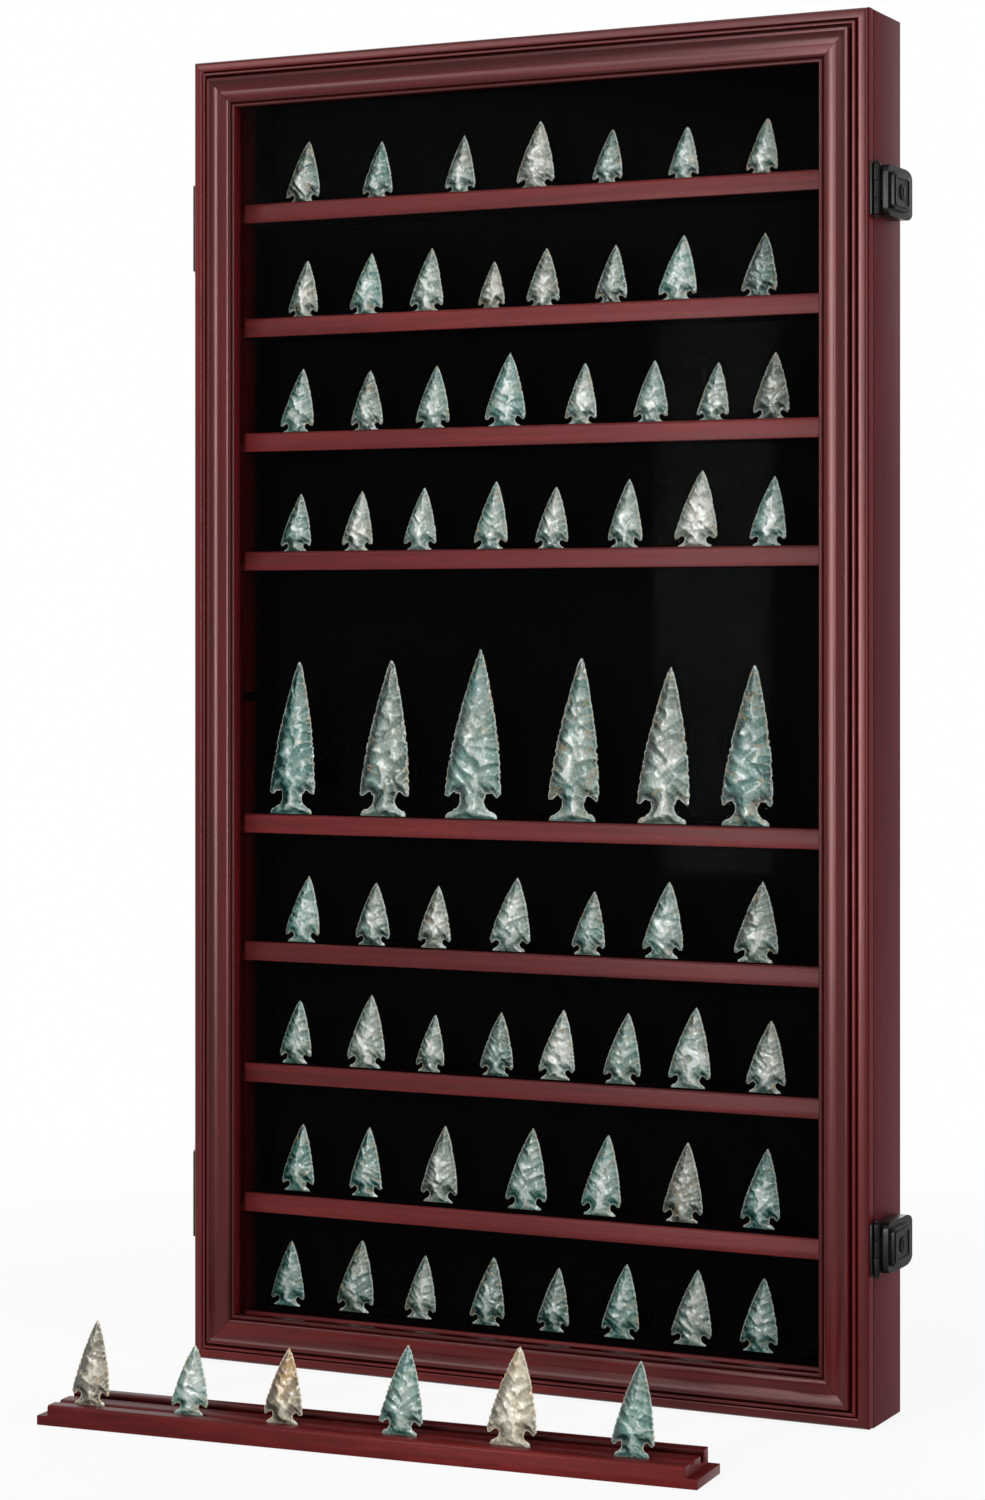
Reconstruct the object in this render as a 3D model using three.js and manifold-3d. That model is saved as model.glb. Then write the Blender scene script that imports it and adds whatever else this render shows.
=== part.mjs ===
// Wall display box for arrowheads: a shallow case with lift-out shelves behind a moulded, glazed door
// that hinges on its left edge and is held shut by two key hasps on its right edge.
// Millimetres, +Z up. The front faces -Y. The origin is the middle of the case's underside.

import * as THREE from 'three';
import { mergeVertices } from 'three/addons/utils/BufferGeometryUtils.js';
import Module from 'manifold-3d';

const wasm = await Module();
wasm.setup();

// Case
const CASE_WIDTH = 418;
const CASE_HEIGHT = 762;
const CASE_DEPTH = 44.5;
const PANEL_THICKNESS = 12.5;
const PANEL_EDGE_RADIUS = 1.2;
const BACK_RECESS = 1.5;
const BACK_THICKNESS = 3;
const FELT_THICKNESS = 1.2;
const RAIL_THICKNESS = 15;

// Shelves, by the height of each slot's shelf top, as shares of the case's height
const SHELF_TOP_SHARES = [0.0387, 0.1299, 0.2297, 0.3232, 0.4213, 0.522, 0.623, 0.7143, 0.8025, 0.8904];
const EMPTY_SLOT_INDEX = 5;
const SPEAR_SHELF_INDEX = 4;
const SHELF_THICKNESS = 11.2;
const SHELF_SETBACK = 1.8;
const SHELF_NOSE = 1.8;
const TONGUE_LENGTH = 6.4;
const TONGUE_THICKNESS = 5.2;
const GROOVE_WIDTH = 4.8;
const GROOVE_DEPTH = 1.6;
const GROOVE_SHARE = 0.3;
const BACK_GROOVE_DEPTH = 4;
const BACK_GROOVE_SHARE = 0.73;
const BACK_RIDGE_RISE = 2;
const RIDGE_ROUNDING = 3.4;

// Door and its moulding, from the outer edge inwards
const FRAME_EDGE = 9.2;
const DOOR_LIFT = 0.8;
const OUTER_BEAD_WIDTH = 6.2;
const OUTER_BEAD_RADIUS = 2.6;
const OUTER_BEAD_INNER_RADIUS = 1.1;
const QUIRK_WIDTH = 1.8;
const QUIRK_DEPTH = 1.8;
const FILLET_WIDTH = 2.3;
const FILLET_DROP = 0.4;
const COVE_WIDTH = 4.1;
const COVE_RISE = 2.4;
const CROWN_WIDTH = 5.2;
const CROWN_RISE = 1.3;
const FALL_WIDTH = 3.4;
const FALL_DROP = 2.3;
const SMALL_BEAD_WIDTH = 2;
const SMALL_BEAD_RISE = 0.8;
const SMALL_QUIRK_WIDTH = 0.9;
const SMALL_QUIRK_DEPTH = 0.9;
const SIGHT_BEAD_WIDTH = 2.1;
const SIGHT_BEAD_RISE = 1;
const REBATE_WIDTH = 6;
const REBATE_DEPTH = 4.6;

// Glass and the beads that hold it
const GLASS_THICKNESS = 2;
const GLASS_EDGE_GAP = 0.6;
const STOP_WIDTH = 5;

// Butt hinges on the left edge
const HINGE_HEIGHT = 50;
const HINGE_END_DISTANCE = 97;
const BARREL_RADIUS = 2.2;
const PIN_RADIUS = 0.9;
const PIN_HEAD_RADIUS = 1.7;
const PIN_HEAD_LENGTH = 1.4;
const LEAF_THICKNESS = 1.2;
const CASE_LEAF_WIDTH = 17;
const DOOR_LEAF_WIDTH = 4.4;
const KNUCKLE_COUNT = 5;

// Key hasps on the right edge
const LOCK_END_DISTANCE = 97;
const LOCK_HEIGHT = 27.5;
const HASP_DEPTH = 40;
const HASP_HEIGHT_OFF_SIDE = 8.3;
const HASP_WALL = 1.8;
const HASP_CORNER_RADIUS = 4.5;
const HASP_BLOCK_DEPTH = 27;
const HASP_BLOCK_HEIGHT = 20;
const HASP_BLOCK_RISE = 2.3;
const HASP_BLOCK_SETBACK = 3.2;
const HASP_BLOCK_RADIUS = 2.5;
const HASP_PIN_SETBACK = 2.7;
const HASP_LEAF_WIDTH = 4.2;
const HASP_KNUCKLE_COUNT = 3;
const PLUG_RADIUS = 4.2;
const PLUG_PROUD = 0.5;
const KEYWAY_WIDTH = 1.1;
const KEYWAY_LENGTH = 5.4;
const KEYWAY_DEPTH = 2;
const CAM_THICKNESS = 1.4;
const CAM_WIDTH = 3.6;
const CAM_LENGTH = 10;
const STRIKE_THICKNESS = 1.2;
const STRIKE_DEPTH = 32;
const STRIKE_HEIGHT = 21;
const KEEPER_LIP = 1.2;
const KEEPER_WALL = 2.4;
const KEEPER_HEIGHT = 4.4;

// Loose shelf in front of the case
const LOOSE_SHELF_X = -13.4;
const LOOSE_SHELF_FRONT = 197.5;
const LOOSE_SHELF_TURN_SHARE = 0.0214;

// Stone points, left to right: a usual width and height, each one's shares of them, and its place from the
// middle as a share of the shelf's length. An outline runs down one side from the tip to the base.
const POINT_THICKNESS = 4;
const POINT_BEVEL = 0.8;
const SPEAR_WIDTH = 31;
const SPEAR_HEIGHT = 91;
const SPEAR_WIDTH_SHARES = [0.98, 1.05, 1.17, 1.02, 1.04, 1];
const SPEAR_HEIGHT_SHARES = [0.99, 1, 1.06, 1.02, 0.96, 0.98];
const SPEAR_PLACE_SHARES = [-0.425, -0.257, -0.1, 0.075, 0.226, 0.364];
const LOOSE_POINT_WIDTH = 24;
const LOOSE_POINT_HEIGHT = 46;
const LOOSE_WIDTH_SHARES = [0.95, 0.91, 0.95, 1.03, 1.15, 0.97];
const LOOSE_HEIGHT_SHARES = [1.02, 0.83, 0.88, 1.03, 1.12, 1.07];
const LOOSE_PLACE_SHARES = [-0.441, -0.277, -0.125, 0.062, 0.233, 0.415];
const SPEAR_OUTLINE_SHARES = [
  [0, 1], [0.1, 0.87], [0.22, 0.72], [0.33, 0.55], [0.42, 0.38], [0.48, 0.24], [0.5, 0.13],
  [0.44, 0.1], [0.36, 0.125], [0.28, 0.115], [0.26, 0.085], [0.32, 0.05], [0.42, 0.015], [0.39, 0],
];
const LOOSE_OUTLINE_SHARES = [
  [0, 1], [0.12, 0.88], [0.25, 0.72], [0.36, 0.55], [0.45, 0.38], [0.5, 0.24], [0.45, 0.18],
  [0.36, 0.22], [0.27, 0.21], [0.23, 0.17], [0.24, 0.13], [0.3, 0.08], [0.38, 0.04], [0.35, 0],
];

// Fits and steps
const GLUE_LINE = 0.1;
const FIT = 0.3;
const OVERRUN = 1;
const ARC_STEPS = 5;
const ROUND_SIDES = 20;
const PIN_SIDES = 12;

// Values worked out from those above
const HALF_WIDTH = CASE_WIDTH / 2;
const SHELF_TOPS = SHELF_TOP_SHARES.map((share) => share * CASE_HEIGHT);
const CASE_FRONT = -CASE_DEPTH / 2;
const CASE_BACK = CASE_DEPTH / 2;
const BACK_FRONT = CASE_BACK - BACK_RECESS - BACK_THICKNESS;
const FELT_FRONT = BACK_FRONT - GLUE_LINE - FELT_THICKNESS;
const INNER_HALF = HALF_WIDTH - PANEL_THICKNESS - GLUE_LINE;
const RAIL_FACE = INNER_HALF - RAIL_THICKNESS;
const RAIL_DEPTH = FELT_FRONT - GLUE_LINE - CASE_FRONT;
const SHELF_LENGTH = 2 * (RAIL_FACE - FIT);
const SHELF_DEPTH = RAIL_DEPTH - SHELF_SETBACK;
const SHELF_FRONT = CASE_FRONT + SHELF_SETBACK;
const GROOVE_MIDDLE = GROOVE_SHARE * SHELF_DEPTH;
const POINT_SEAT = SHELF_THICKNESS - GROOVE_DEPTH + FIT;
const DOOR_BACK = CASE_FRONT - FIT;
const DOOR_HEIGHT = CASE_HEIGHT - DOOR_LIFT;
const DOOR_MIDDLE = DOOR_LIFT + DOOR_HEIGHT / 2;
const FRAME_WIDTH = OUTER_BEAD_WIDTH + QUIRK_WIDTH + FILLET_WIDTH + COVE_WIDTH + CROWN_WIDTH + FALL_WIDTH
  + SMALL_BEAD_WIDTH + SMALL_QUIRK_WIDTH + SIGHT_BEAD_WIDTH;
const HINGE_X = HALF_WIDTH + BARREL_RADIUS + FIT;
const SEAM = CASE_FRONT - FIT / 2;

// Finishes
const cherry = new THREE.MeshStandardMaterial({ color: 0x6e1a17, roughness: 0.35, metalness: 0 });
const felt = new THREE.MeshStandardMaterial({ color: 0x060606, roughness: 1, metalness: 0 });
const clear = new THREE.MeshStandardMaterial({ color: 0xdfe8e6, roughness: 0.05, metalness: 0 });
const blackMetal = new THREE.MeshStandardMaterial({ color: 0x141416, roughness: 0.4, metalness: 0.6 });
const bronze = new THREE.MeshStandardMaterial({ color: 0x3b2a1c, roughness: 0.4, metalness: 0.9 });
const steel = new THREE.MeshStandardMaterial({ color: 0xb9babb, roughness: 0.3, metalness: 1 });
const stone = new THREE.MeshStandardMaterial({ color: 0x9fb3ae, roughness: 0.3, metalness: 0 });

// Turns a closed geometry into a solid that can be joined and cut
function solidOf(geometry) {
  const bare = geometry.clone();
  bare.deleteAttribute('normal');
  bare.deleteAttribute('uv');
  const welded = mergeVertices(bare);
  const vertProperties = new Float32Array(welded.attributes.position.array);
  const triVerts = new Uint32Array(welded.index.array);
  return new wasm.Manifold(new wasm.Mesh({ numProp: 3, vertProperties, triVerts }));
}

// Turns a solid back into a geometry
function geometryOf(solid) {
  const mesh = solid.getMesh();
  const geometry = new THREE.BufferGeometry();
  geometry.setAttribute('position', new THREE.BufferAttribute(new Float32Array(mesh.vertProperties), 3));
  geometry.setIndex(new THREE.BufferAttribute(new Uint32Array(mesh.triVerts), 1));
  geometry.computeVertexNormals();
  return geometry;
}

function joined(...geometries) {
  return geometryOf(geometries.map(solidOf).reduce((whole, piece) => whole.add(piece)));
}

function cut(geometry, ...tools) {
  return geometryOf(tools.map(solidOf).reduce((whole, tool) => whole.subtract(tool), solidOf(geometry)));
}

// A box between two corners
function block([x0, y0, z0], [x1, y1, z1]) {
  const box = new THREE.BoxGeometry(x1 - x0, y1 - y0, z1 - z0);
  return box.translate((x0 + x1) / 2, (y0 + y1) / 2, (z0 + z1) / 2);
}

function shapeOf(points) {
  return new THREE.Shape(points.map(([a, b]) => new THREE.Vector2(a, b)));
}

function extruded(points, depth) {
  return new THREE.ExtrudeGeometry(shapeOf(points), { depth, bevelEnabled: false });
}

// An outline in X and Y, run up Z
function alongZ(points, from, to) {
  return extruded(points, to - from).translate(0, 0, from);
}

// An outline in Y and Z, run along X
function alongX(points, from, to) {
  const turn = new THREE.Matrix4().makeBasis(
    new THREE.Vector3(0, 1, 0), new THREE.Vector3(0, 0, 1), new THREE.Vector3(1, 0, 0));
  return extruded(points, to - from).applyMatrix4(turn).translate(from, 0, 0);
}

// An outline in X and Z, run along Y
function alongY(points, from, to) {
  return extruded(points, to - from).rotateX(Math.PI / 2).translate(0, to, 0);
}

function arc(a, b, radiusA, radiusB, start, end, steps = ARC_STEPS) {
  return Array.from({ length: steps + 1 }, (_, step) => {
    const angle = start + (end - start) * (step / steps);
    return [a + radiusA * Math.cos(angle), b + radiusB * Math.sin(angle)];
  });
}

// A rectangle with all four corners rounded, counter-clockwise
function roundedOutline(a0, b0, a1, b1, radius) {
  const quarter = Math.PI / 2;
  return [
    ...arc(a0 + radius, b0 + radius, radius, radius, -2 * quarter, -quarter),
    ...arc(a1 - radius, b0 + radius, radius, radius, -quarter, 0),
    ...arc(a1 - radius, b1 - radius, radius, radius, 0, quarter),
    ...arc(a0 + radius, b1 - radius, radius, radius, quarter, 2 * quarter),
  ];
}

function uprightCylinder(radius, from, to, sides = ROUND_SIDES) {
  const cylinder = new THREE.CylinderGeometry(radius, radius, to - from, sides);
  return cylinder.rotateX(Math.PI / 2).translate(0, 0, (from + to) / 2);
}

function sidewaysCylinder(radius, from, to, sides = ROUND_SIDES) {
  const cylinder = new THREE.CylinderGeometry(radius, radius, to - from, sides);
  return cylinder.rotateZ(-Math.PI / 2).translate((from + to) / 2, 0, 0);
}

function addPiece(parent, name, geometry, material, x = 0, y = 0, z = 0) {
  const mesh = new THREE.Mesh(geometry, material);
  mesh.name = name;
  mesh.position.set(x, y, z);
  parent.add(mesh);
  return mesh;
}

// Case: two full-height sides, a top and a bottom between them, a felted back and two slotted rails
function sidePanel() {
  const outline = roundedOutline(0, CASE_FRONT, PANEL_THICKNESS, CASE_BACK, PANEL_EDGE_RADIUS);
  return alongZ(outline, 0, CASE_HEIGHT);
}

function endPanel() {
  const outline = roundedOutline(CASE_FRONT, 0, CASE_BACK, PANEL_THICKNESS, PANEL_EDGE_RADIUS);
  return alongX(outline, -INNER_HALF, INNER_HALF);
}

// One slotted rail seen from the front: its back against the side panel, a slot for every shelf height
function slottedRail() {
  const foot = PANEL_THICKNESS + GLUE_LINE;
  const head = CASE_HEIGHT - PANEL_THICKNESS - GLUE_LINE;
  const slotFloor = RAIL_THICKNESS - TONGUE_LENGTH - FIT;
  const slots = SHELF_TOPS.flatMap((top) => {
    const low = top - SHELF_THICKNESS - FIT;
    const high = low + TONGUE_THICKNESS + 2 * FIT;
    return [[RAIL_THICKNESS, low], [slotFloor, low], [slotFloor, high], [RAIL_THICKNESS, high]];
  });
  const outline = [[0, foot], [RAIL_THICKNESS, foot], ...slots, [RAIL_THICKNESS, head], [0, head]];
  return alongY(outline, CASE_FRONT, CASE_FRONT + RAIL_DEPTH);
}

function innerSheet(from, to) {
  const foot = PANEL_THICKNESS + GLUE_LINE;
  return block([-INNER_HALF, from, foot], [INNER_HALF, to, CASE_HEIGHT - foot]);
}

function addCase(parent) {
  const box = new THREE.Group();
  parent.add(box);
  addPiece(box, 'left_side_panel', sidePanel(), cherry, -HALF_WIDTH);
  addPiece(box, 'right_side_panel', sidePanel(), cherry, HALF_WIDTH - PANEL_THICKNESS);
  addPiece(box, 'bottom_panel', endPanel(), cherry);
  addPiece(box, 'top_panel', endPanel(), cherry, 0, 0, CASE_HEIGHT - PANEL_THICKNESS);
  addPiece(box, 'back_board', innerSheet(BACK_FRONT, BACK_FRONT + BACK_THICKNESS), cherry);
  addPiece(box, 'felt_backing', innerSheet(FELT_FRONT, FELT_FRONT + FELT_THICKNESS), felt);
  addPiece(box, 'left_shelf_rail', slottedRail(), cherry, -INNER_HALF);
  const right = slottedRail().rotateZ(Math.PI).translate(0, 2 * CASE_FRONT + RAIL_DEPTH, 0);
  addPiece(box, 'right_shelf_rail', right, cherry, INNER_HALF);
}

// Shelf section, front to back: three rounded ridges, the last one higher. The points stand in the first
// groove, and the second one is deeper.
function shelfSection() {
  const near = GROOVE_SHARE * SHELF_DEPTH - GROOVE_WIDTH / 2;
  const far = near + GROOVE_WIDTH;
  const gap = BACK_GROOVE_SHARE * SHELF_DEPTH - GROOVE_WIDTH / 2;
  const last = gap + GROOVE_WIDTH;
  const top = SHELF_THICKNESS;
  const floor = top - GROOVE_DEPTH;
  const deep = top - BACK_GROOVE_DEPTH;
  const rounded = (edge, foot, wide, high) => arc(edge + wide, foot, wide, high, Math.PI, Math.PI / 2);
  const outline = [
    [0, 0], ...rounded(0, top - SHELF_NOSE, SHELF_NOSE, SHELF_NOSE), [near, top], [near, floor],
    ...rounded(far, floor, RIDGE_ROUNDING, GROOVE_DEPTH), [gap, top], [gap, deep], [last, deep],
    ...rounded(last, top, RIDGE_ROUNDING, BACK_RIDGE_RISE), [SHELF_DEPTH, top + BACK_RIDGE_RISE],
    [SHELF_DEPTH, 0],
  ];
  return outline.reverse();
}

// A shelf with its underside at zero and its front edge at zero; a tongue at each end fills the rails' slots
function shelf() {
  const board = alongX(shelfSection(), -SHELF_LENGTH / 2, SHELF_LENGTH / 2);
  const reach = SHELF_LENGTH / 2 + TONGUE_LENGTH;
  const tongue = block([-reach, 0, 0], [reach, SHELF_DEPTH, TONGUE_THICKNESS]);
  return joined(board, tongue);
}

// A flat stone point standing on its base, its faces towards the front and the back
function stonePoint(outlineShares, width, height) {
  const right = outlineShares.map(([across, up]) => [across * width, up * height]);
  const left = right.slice(1).reverse().map(([across, up]) => [-across, up]);
  const flat = POINT_THICKNESS - 2 * POINT_BEVEL;
  const geometry = new THREE.ExtrudeGeometry(shapeOf([...left, ...right]), {
    depth: flat,
    bevelThickness: POINT_BEVEL,
    bevelSize: POINT_BEVEL,
    bevelOffset: -POINT_BEVEL,
    bevelSegments: 1,
  });
  return geometryOf(solidOf(geometry.rotateX(Math.PI / 2).translate(0, flat / 2, 0)));
}

function addShelves(parent) {
  SHELF_TOPS.forEach((top, slot) => {
    if (slot === EMPTY_SLOT_INDEX) return;
    const group = new THREE.Group();
    group.position.set(0, SHELF_FRONT, top - SHELF_THICKNESS);
    parent.add(group);
    addPiece(group, `shelf_${slot + 1}`, shelf(), cherry);
    if (slot !== SPEAR_SHELF_INDEX) return;
    SPEAR_PLACE_SHARES.forEach((share, number) => {
      const width = SPEAR_WIDTH_SHARES[number] * SPEAR_WIDTH;
      const height = SPEAR_HEIGHT_SHARES[number] * SPEAR_HEIGHT;
      const spear = stonePoint(SPEAR_OUTLINE_SHARES, width, height);
      addPiece(group, `spear_point_${number + 1}`, spear, stone, share * SHELF_LENGTH, GROOVE_MIDDLE, POINT_SEAT);
    });
  });
}

function addLooseShelf(parent) {
  const group = new THREE.Group();
  group.position.set(LOOSE_SHELF_X, -LOOSE_SHELF_FRONT, 0);
  group.rotation.z = LOOSE_SHELF_TURN_SHARE * Math.PI;
  parent.add(group);
  addPiece(group, 'loose_shelf', shelf(), cherry);
  LOOSE_PLACE_SHARES.forEach((share, number) => {
    const width = LOOSE_WIDTH_SHARES[number] * LOOSE_POINT_WIDTH;
    const height = LOOSE_HEIGHT_SHARES[number] * LOOSE_POINT_HEIGHT;
    const point = stonePoint(LOOSE_OUTLINE_SHARES, width, height);
    addPiece(group, `loose_point_${number + 1}`, point, stone, share * SHELF_LENGTH, GROOVE_MIDDLE, POINT_SEAT);
  });
}

// Moulding section: distance in from the outer edge, then height off the door's back
function mouldingSection() {
  const quarter = Math.PI / 2;
  const quirk = OUTER_BEAD_WIDTH;
  const fillet = quirk + QUIRK_WIDTH;
  const cove = fillet + FILLET_WIDTH;
  const crown = cove + COVE_WIDTH;
  const fall = crown + CROWN_WIDTH;
  const smallBead = fall + FALL_WIDTH;
  const smallQuirk = smallBead + SMALL_BEAD_WIDTH;
  const sightBead = smallQuirk + SMALL_QUIRK_WIDTH;
  const step = FRAME_EDGE - FILLET_DROP;
  const shoulder = step + COVE_RISE;
  const inner = shoulder - FALL_DROP;
  const sight = step + COVE_RISE - SIGHT_BEAD_RISE;
  return [
    [0, 0],
    ...arc(OUTER_BEAD_RADIUS, FRAME_EDGE - OUTER_BEAD_RADIUS, OUTER_BEAD_RADIUS, OUTER_BEAD_RADIUS,
      2 * quarter, quarter),
    ...arc(quirk - OUTER_BEAD_INNER_RADIUS, FRAME_EDGE - OUTER_BEAD_INNER_RADIUS, OUTER_BEAD_INNER_RADIUS,
      OUTER_BEAD_INNER_RADIUS, quarter, 0),
    [quirk, FRAME_EDGE - QUIRK_DEPTH],
    [fillet, FRAME_EDGE - QUIRK_DEPTH],
    [fillet, step],
    ...arc(cove, shoulder, COVE_WIDTH, COVE_RISE, -quarter, 0),
    ...arc(crown + CROWN_WIDTH / 2, shoulder, CROWN_WIDTH / 2, CROWN_RISE, 2 * quarter, 0,
      2 * ARC_STEPS).slice(1),
    ...arc(smallBead, shoulder, FALL_WIDTH, FALL_DROP, -2 * quarter, -quarter).slice(1, -1),
    ...arc(smallBead + SMALL_BEAD_WIDTH / 2, inner, SMALL_BEAD_WIDTH / 2, SMALL_BEAD_RISE, 2 * quarter, 0),
    [smallQuirk, inner - SMALL_QUIRK_DEPTH],
    [sightBead, inner - SMALL_QUIRK_DEPTH],
    ...arc(sightBead + SIGHT_BEAD_WIDTH / 2, sight, SIGHT_BEAD_WIDTH / 2, SIGHT_BEAD_RISE, 2 * quarter, 0),
    [FRAME_WIDTH, REBATE_DEPTH],
    [FRAME_WIDTH - REBATE_WIDTH, REBATE_DEPTH],
    [FRAME_WIDTH - REBATE_WIDTH, 0],
  ];
}

// One mitred length of moulding: X along it, Z in from its outer edge, its back at zero and its face to -Y
function mouldingLength(length) {
  const geometry = extruded(mouldingSection(), 1);
  const position = geometry.attributes.position;
  for (let index = 0; index < position.count; index += 1) {
    const inward = position.getX(index);
    const out = position.getY(index);
    const end = position.getZ(index) > 0 ? 1 : -1;
    position.setXYZ(index, end * (length / 2 - inward - GLUE_LINE), -out, inward);
  }
  return geometryOf(solidOf(geometry));
}

function addFrame(door) {
  const sides = [
    ['door_rail_bottom', CASE_WIDTH, 0, 0, DOOR_LIFT],
    ['door_rail_top', CASE_WIDTH, 2, 0, CASE_HEIGHT],
    ['door_stile_left', DOOR_HEIGHT, 1, -HALF_WIDTH, DOOR_MIDDLE],
    ['door_stile_right', DOOR_HEIGHT, -1, HALF_WIDTH, DOOR_MIDDLE],
  ];
  for (const [name, length, quarterTurns, x, z] of sides) {
    const side = addPiece(door, name, mouldingLength(length), cherry, x, DOOR_BACK, z);
    side.rotation.y = quarterTurns * (Math.PI / 2);
  }
}

// The pane lies in the frame's rebate, and four beads behind it fill the rebate
function addGlazing(door) {
  const rebateX = HALF_WIDTH - FRAME_WIDTH + REBATE_WIDTH;
  const rebateZ = DOOR_HEIGHT / 2 - FRAME_WIDTH + REBATE_WIDTH;
  const paneX = rebateX - GLASS_EDGE_GAP;
  const paneZ = rebateZ - GLASS_EDGE_GAP;
  const glassFront = DOOR_BACK - REBATE_DEPTH + GLUE_LINE;
  const glassBack = glassFront + GLASS_THICKNESS;
  const pane = block([-paneX, glassFront, -paneZ], [paneX, glassBack, paneZ]);
  addPiece(door, 'door_glass', pane, clear, 0, 0, DOOR_MIDDLE);
  const stopFront = glassBack + GLUE_LINE;
  const outerX = rebateX - GLUE_LINE;
  const outerZ = rebateZ - GLUE_LINE;
  const innerZ = outerZ - STOP_WIDTH;
  const level = block([-outerX, stopFront, 0], [outerX, DOOR_BACK, STOP_WIDTH]);
  const upright = block([0, stopFront, -innerZ + GLUE_LINE], [STOP_WIDTH, DOOR_BACK, innerZ - GLUE_LINE]);
  addPiece(door, 'glass_stop_bottom', level, cherry, 0, 0, DOOR_MIDDLE - outerZ);
  addPiece(door, 'glass_stop_top', level, cherry, 0, 0, DOOR_MIDDLE + innerZ);
  addPiece(door, 'glass_stop_left', upright, cherry, -outerX, 0, DOOR_MIDDLE);
  addPiece(door, 'glass_stop_right', upright, cherry, outerX - STOP_WIDTH, 0, DOOR_MIDDLE);
}

// The height range of one knuckle of a barrel that is centred on zero
function knuckleRange(number, count, height) {
  const pitch = height / count;
  const low = -height / 2 + number * pitch;
  return [low + FIT / 2, low + pitch - FIT / 2];
}

// A hinge leaf about its pin: the plate lies from clear of the barrel out to its width, on the side that the
// sign gives, and its face is one fit off the wood
function leaf(height, count, firstKnuckle, width, sign) {
  const inner = -BARREL_RADIUS;
  const outer = inner + LEAF_THICKNESS;
  const clearOfBarrel = BARREL_RADIUS + FIT;
  const ends = [sign * clearOfBarrel, sign * (clearOfBarrel + width)].sort((a, b) => a - b);
  const pieces = [block([inner, ends[0], -height / 2], [outer, ends[1], height / 2])];
  for (let number = firstKnuckle; number < count; number += 2) {
    const [low, high] = knuckleRange(number, count, height);
    const web = [0, sign * (clearOfBarrel + LEAF_THICKNESS)].sort((a, b) => a - b);
    pieces.push(uprightCylinder(BARREL_RADIUS, low, high));
    pieces.push(block([inner, web[0], low], [outer, web[1], high]));
  }
  const bore = uprightCylinder(PIN_RADIUS + FIT, -height / 2 - OVERRUN, height / 2 + OVERRUN, PIN_SIDES);
  return cut(joined(...pieces), bore);
}

// A hinge pin with a head beyond each end of the barrel
function hingePin(height) {
  const end = height / 2 + FIT;
  const shank = uprightCylinder(PIN_RADIUS, -end - PIN_HEAD_LENGTH / 2, end + PIN_HEAD_LENGTH / 2, PIN_SIDES);
  const top = uprightCylinder(PIN_HEAD_RADIUS, end, end + PIN_HEAD_LENGTH);
  const bottom = uprightCylinder(PIN_HEAD_RADIUS, -end - PIN_HEAD_LENGTH, -end);
  return joined(shank, top, bottom);
}

function addHinges(parent) {
  const heights = { lower: HINGE_END_DISTANCE, upper: CASE_HEIGHT - HINGE_END_DISTANCE };
  for (const [name, z] of Object.entries(heights)) {
    const hinge = new THREE.Group();
    hinge.position.set(-HINGE_X, SEAM, z);
    parent.add(hinge);
    const caseLeaf = leaf(HINGE_HEIGHT, KNUCKLE_COUNT, 0, CASE_LEAF_WIDTH, -1).rotateZ(Math.PI);
    addPiece(hinge, `hinge_case_leaf_${name}`, caseLeaf, bronze);
    const doorLeaf = leaf(HINGE_HEIGHT, KNUCKLE_COUNT, 1, DOOR_LEAF_WIDTH, 1).rotateZ(Math.PI);
    addPiece(hinge, `hinge_door_leaf_${name}`, doorLeaf, bronze);
    addPiece(hinge, `hinge_pin_${name}`, hingePin(HINGE_HEIGHT), steel);
  }
}

// The hasp's cover, about its pin: X is height off the side of the case and Y runs back from the pin.
// It is a shallow shell, open to the case and at its rear end so that it can slide off the strike.
function haspCover() {
  const side = -BARREL_RADIUS;
  const top = side + HASP_HEIGHT_OFF_SIDE - FIT;
  const front = BARREL_RADIUS + FIT;
  const back = front + HASP_DEPTH;
  const halfHeight = LOCK_HEIGHT / 2;
  const shell = alongX(roundedOutline(front, -halfHeight, back, halfHeight, HASP_CORNER_RADIUS), side, top);
  const hollow = block(
    [side - OVERRUN, front + HASP_WALL, -halfHeight + HASP_WALL],
    [top - HASP_WALL, back + OVERRUN, halfHeight - HASP_WALL]);
  const blockFront = front + HASP_BLOCK_SETBACK;
  const raised = alongX(
    roundedOutline(blockFront, -HASP_BLOCK_HEIGHT / 2, blockFront + HASP_BLOCK_DEPTH, HASP_BLOCK_HEIGHT / 2,
      HASP_BLOCK_RADIUS), top - HASP_WALL / 2, top + HASP_BLOCK_RISE);
  const [low, high] = knuckleRange(1, HASP_KNUCKLE_COUNT, LOCK_HEIGHT);
  const knuckle = uprightCylinder(BARREL_RADIUS, low, high);
  const web = block([-PIN_RADIUS - FIT, 0, low], [BARREL_RADIUS, front + HASP_WALL, high]);
  const pinBore = uprightCylinder(PIN_RADIUS + FIT, low - OVERRUN, high + OVERRUN, PIN_SIDES);
  const plugBore = sidewaysCylinder(PLUG_RADIUS + FIT, side, top + HASP_BLOCK_RISE + OVERRUN)
    .translate(0, plugPlace(), 0);
  return cut(joined(cut(shell, hollow), raised, knuckle, web), pinBore, plugBore);
}

// The plug's distance back from the hasp's pin: the middle of the raised block
function plugPlace() {
  return BARREL_RADIUS + FIT + HASP_BLOCK_SETBACK + HASP_BLOCK_DEPTH / 2;
}

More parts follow.
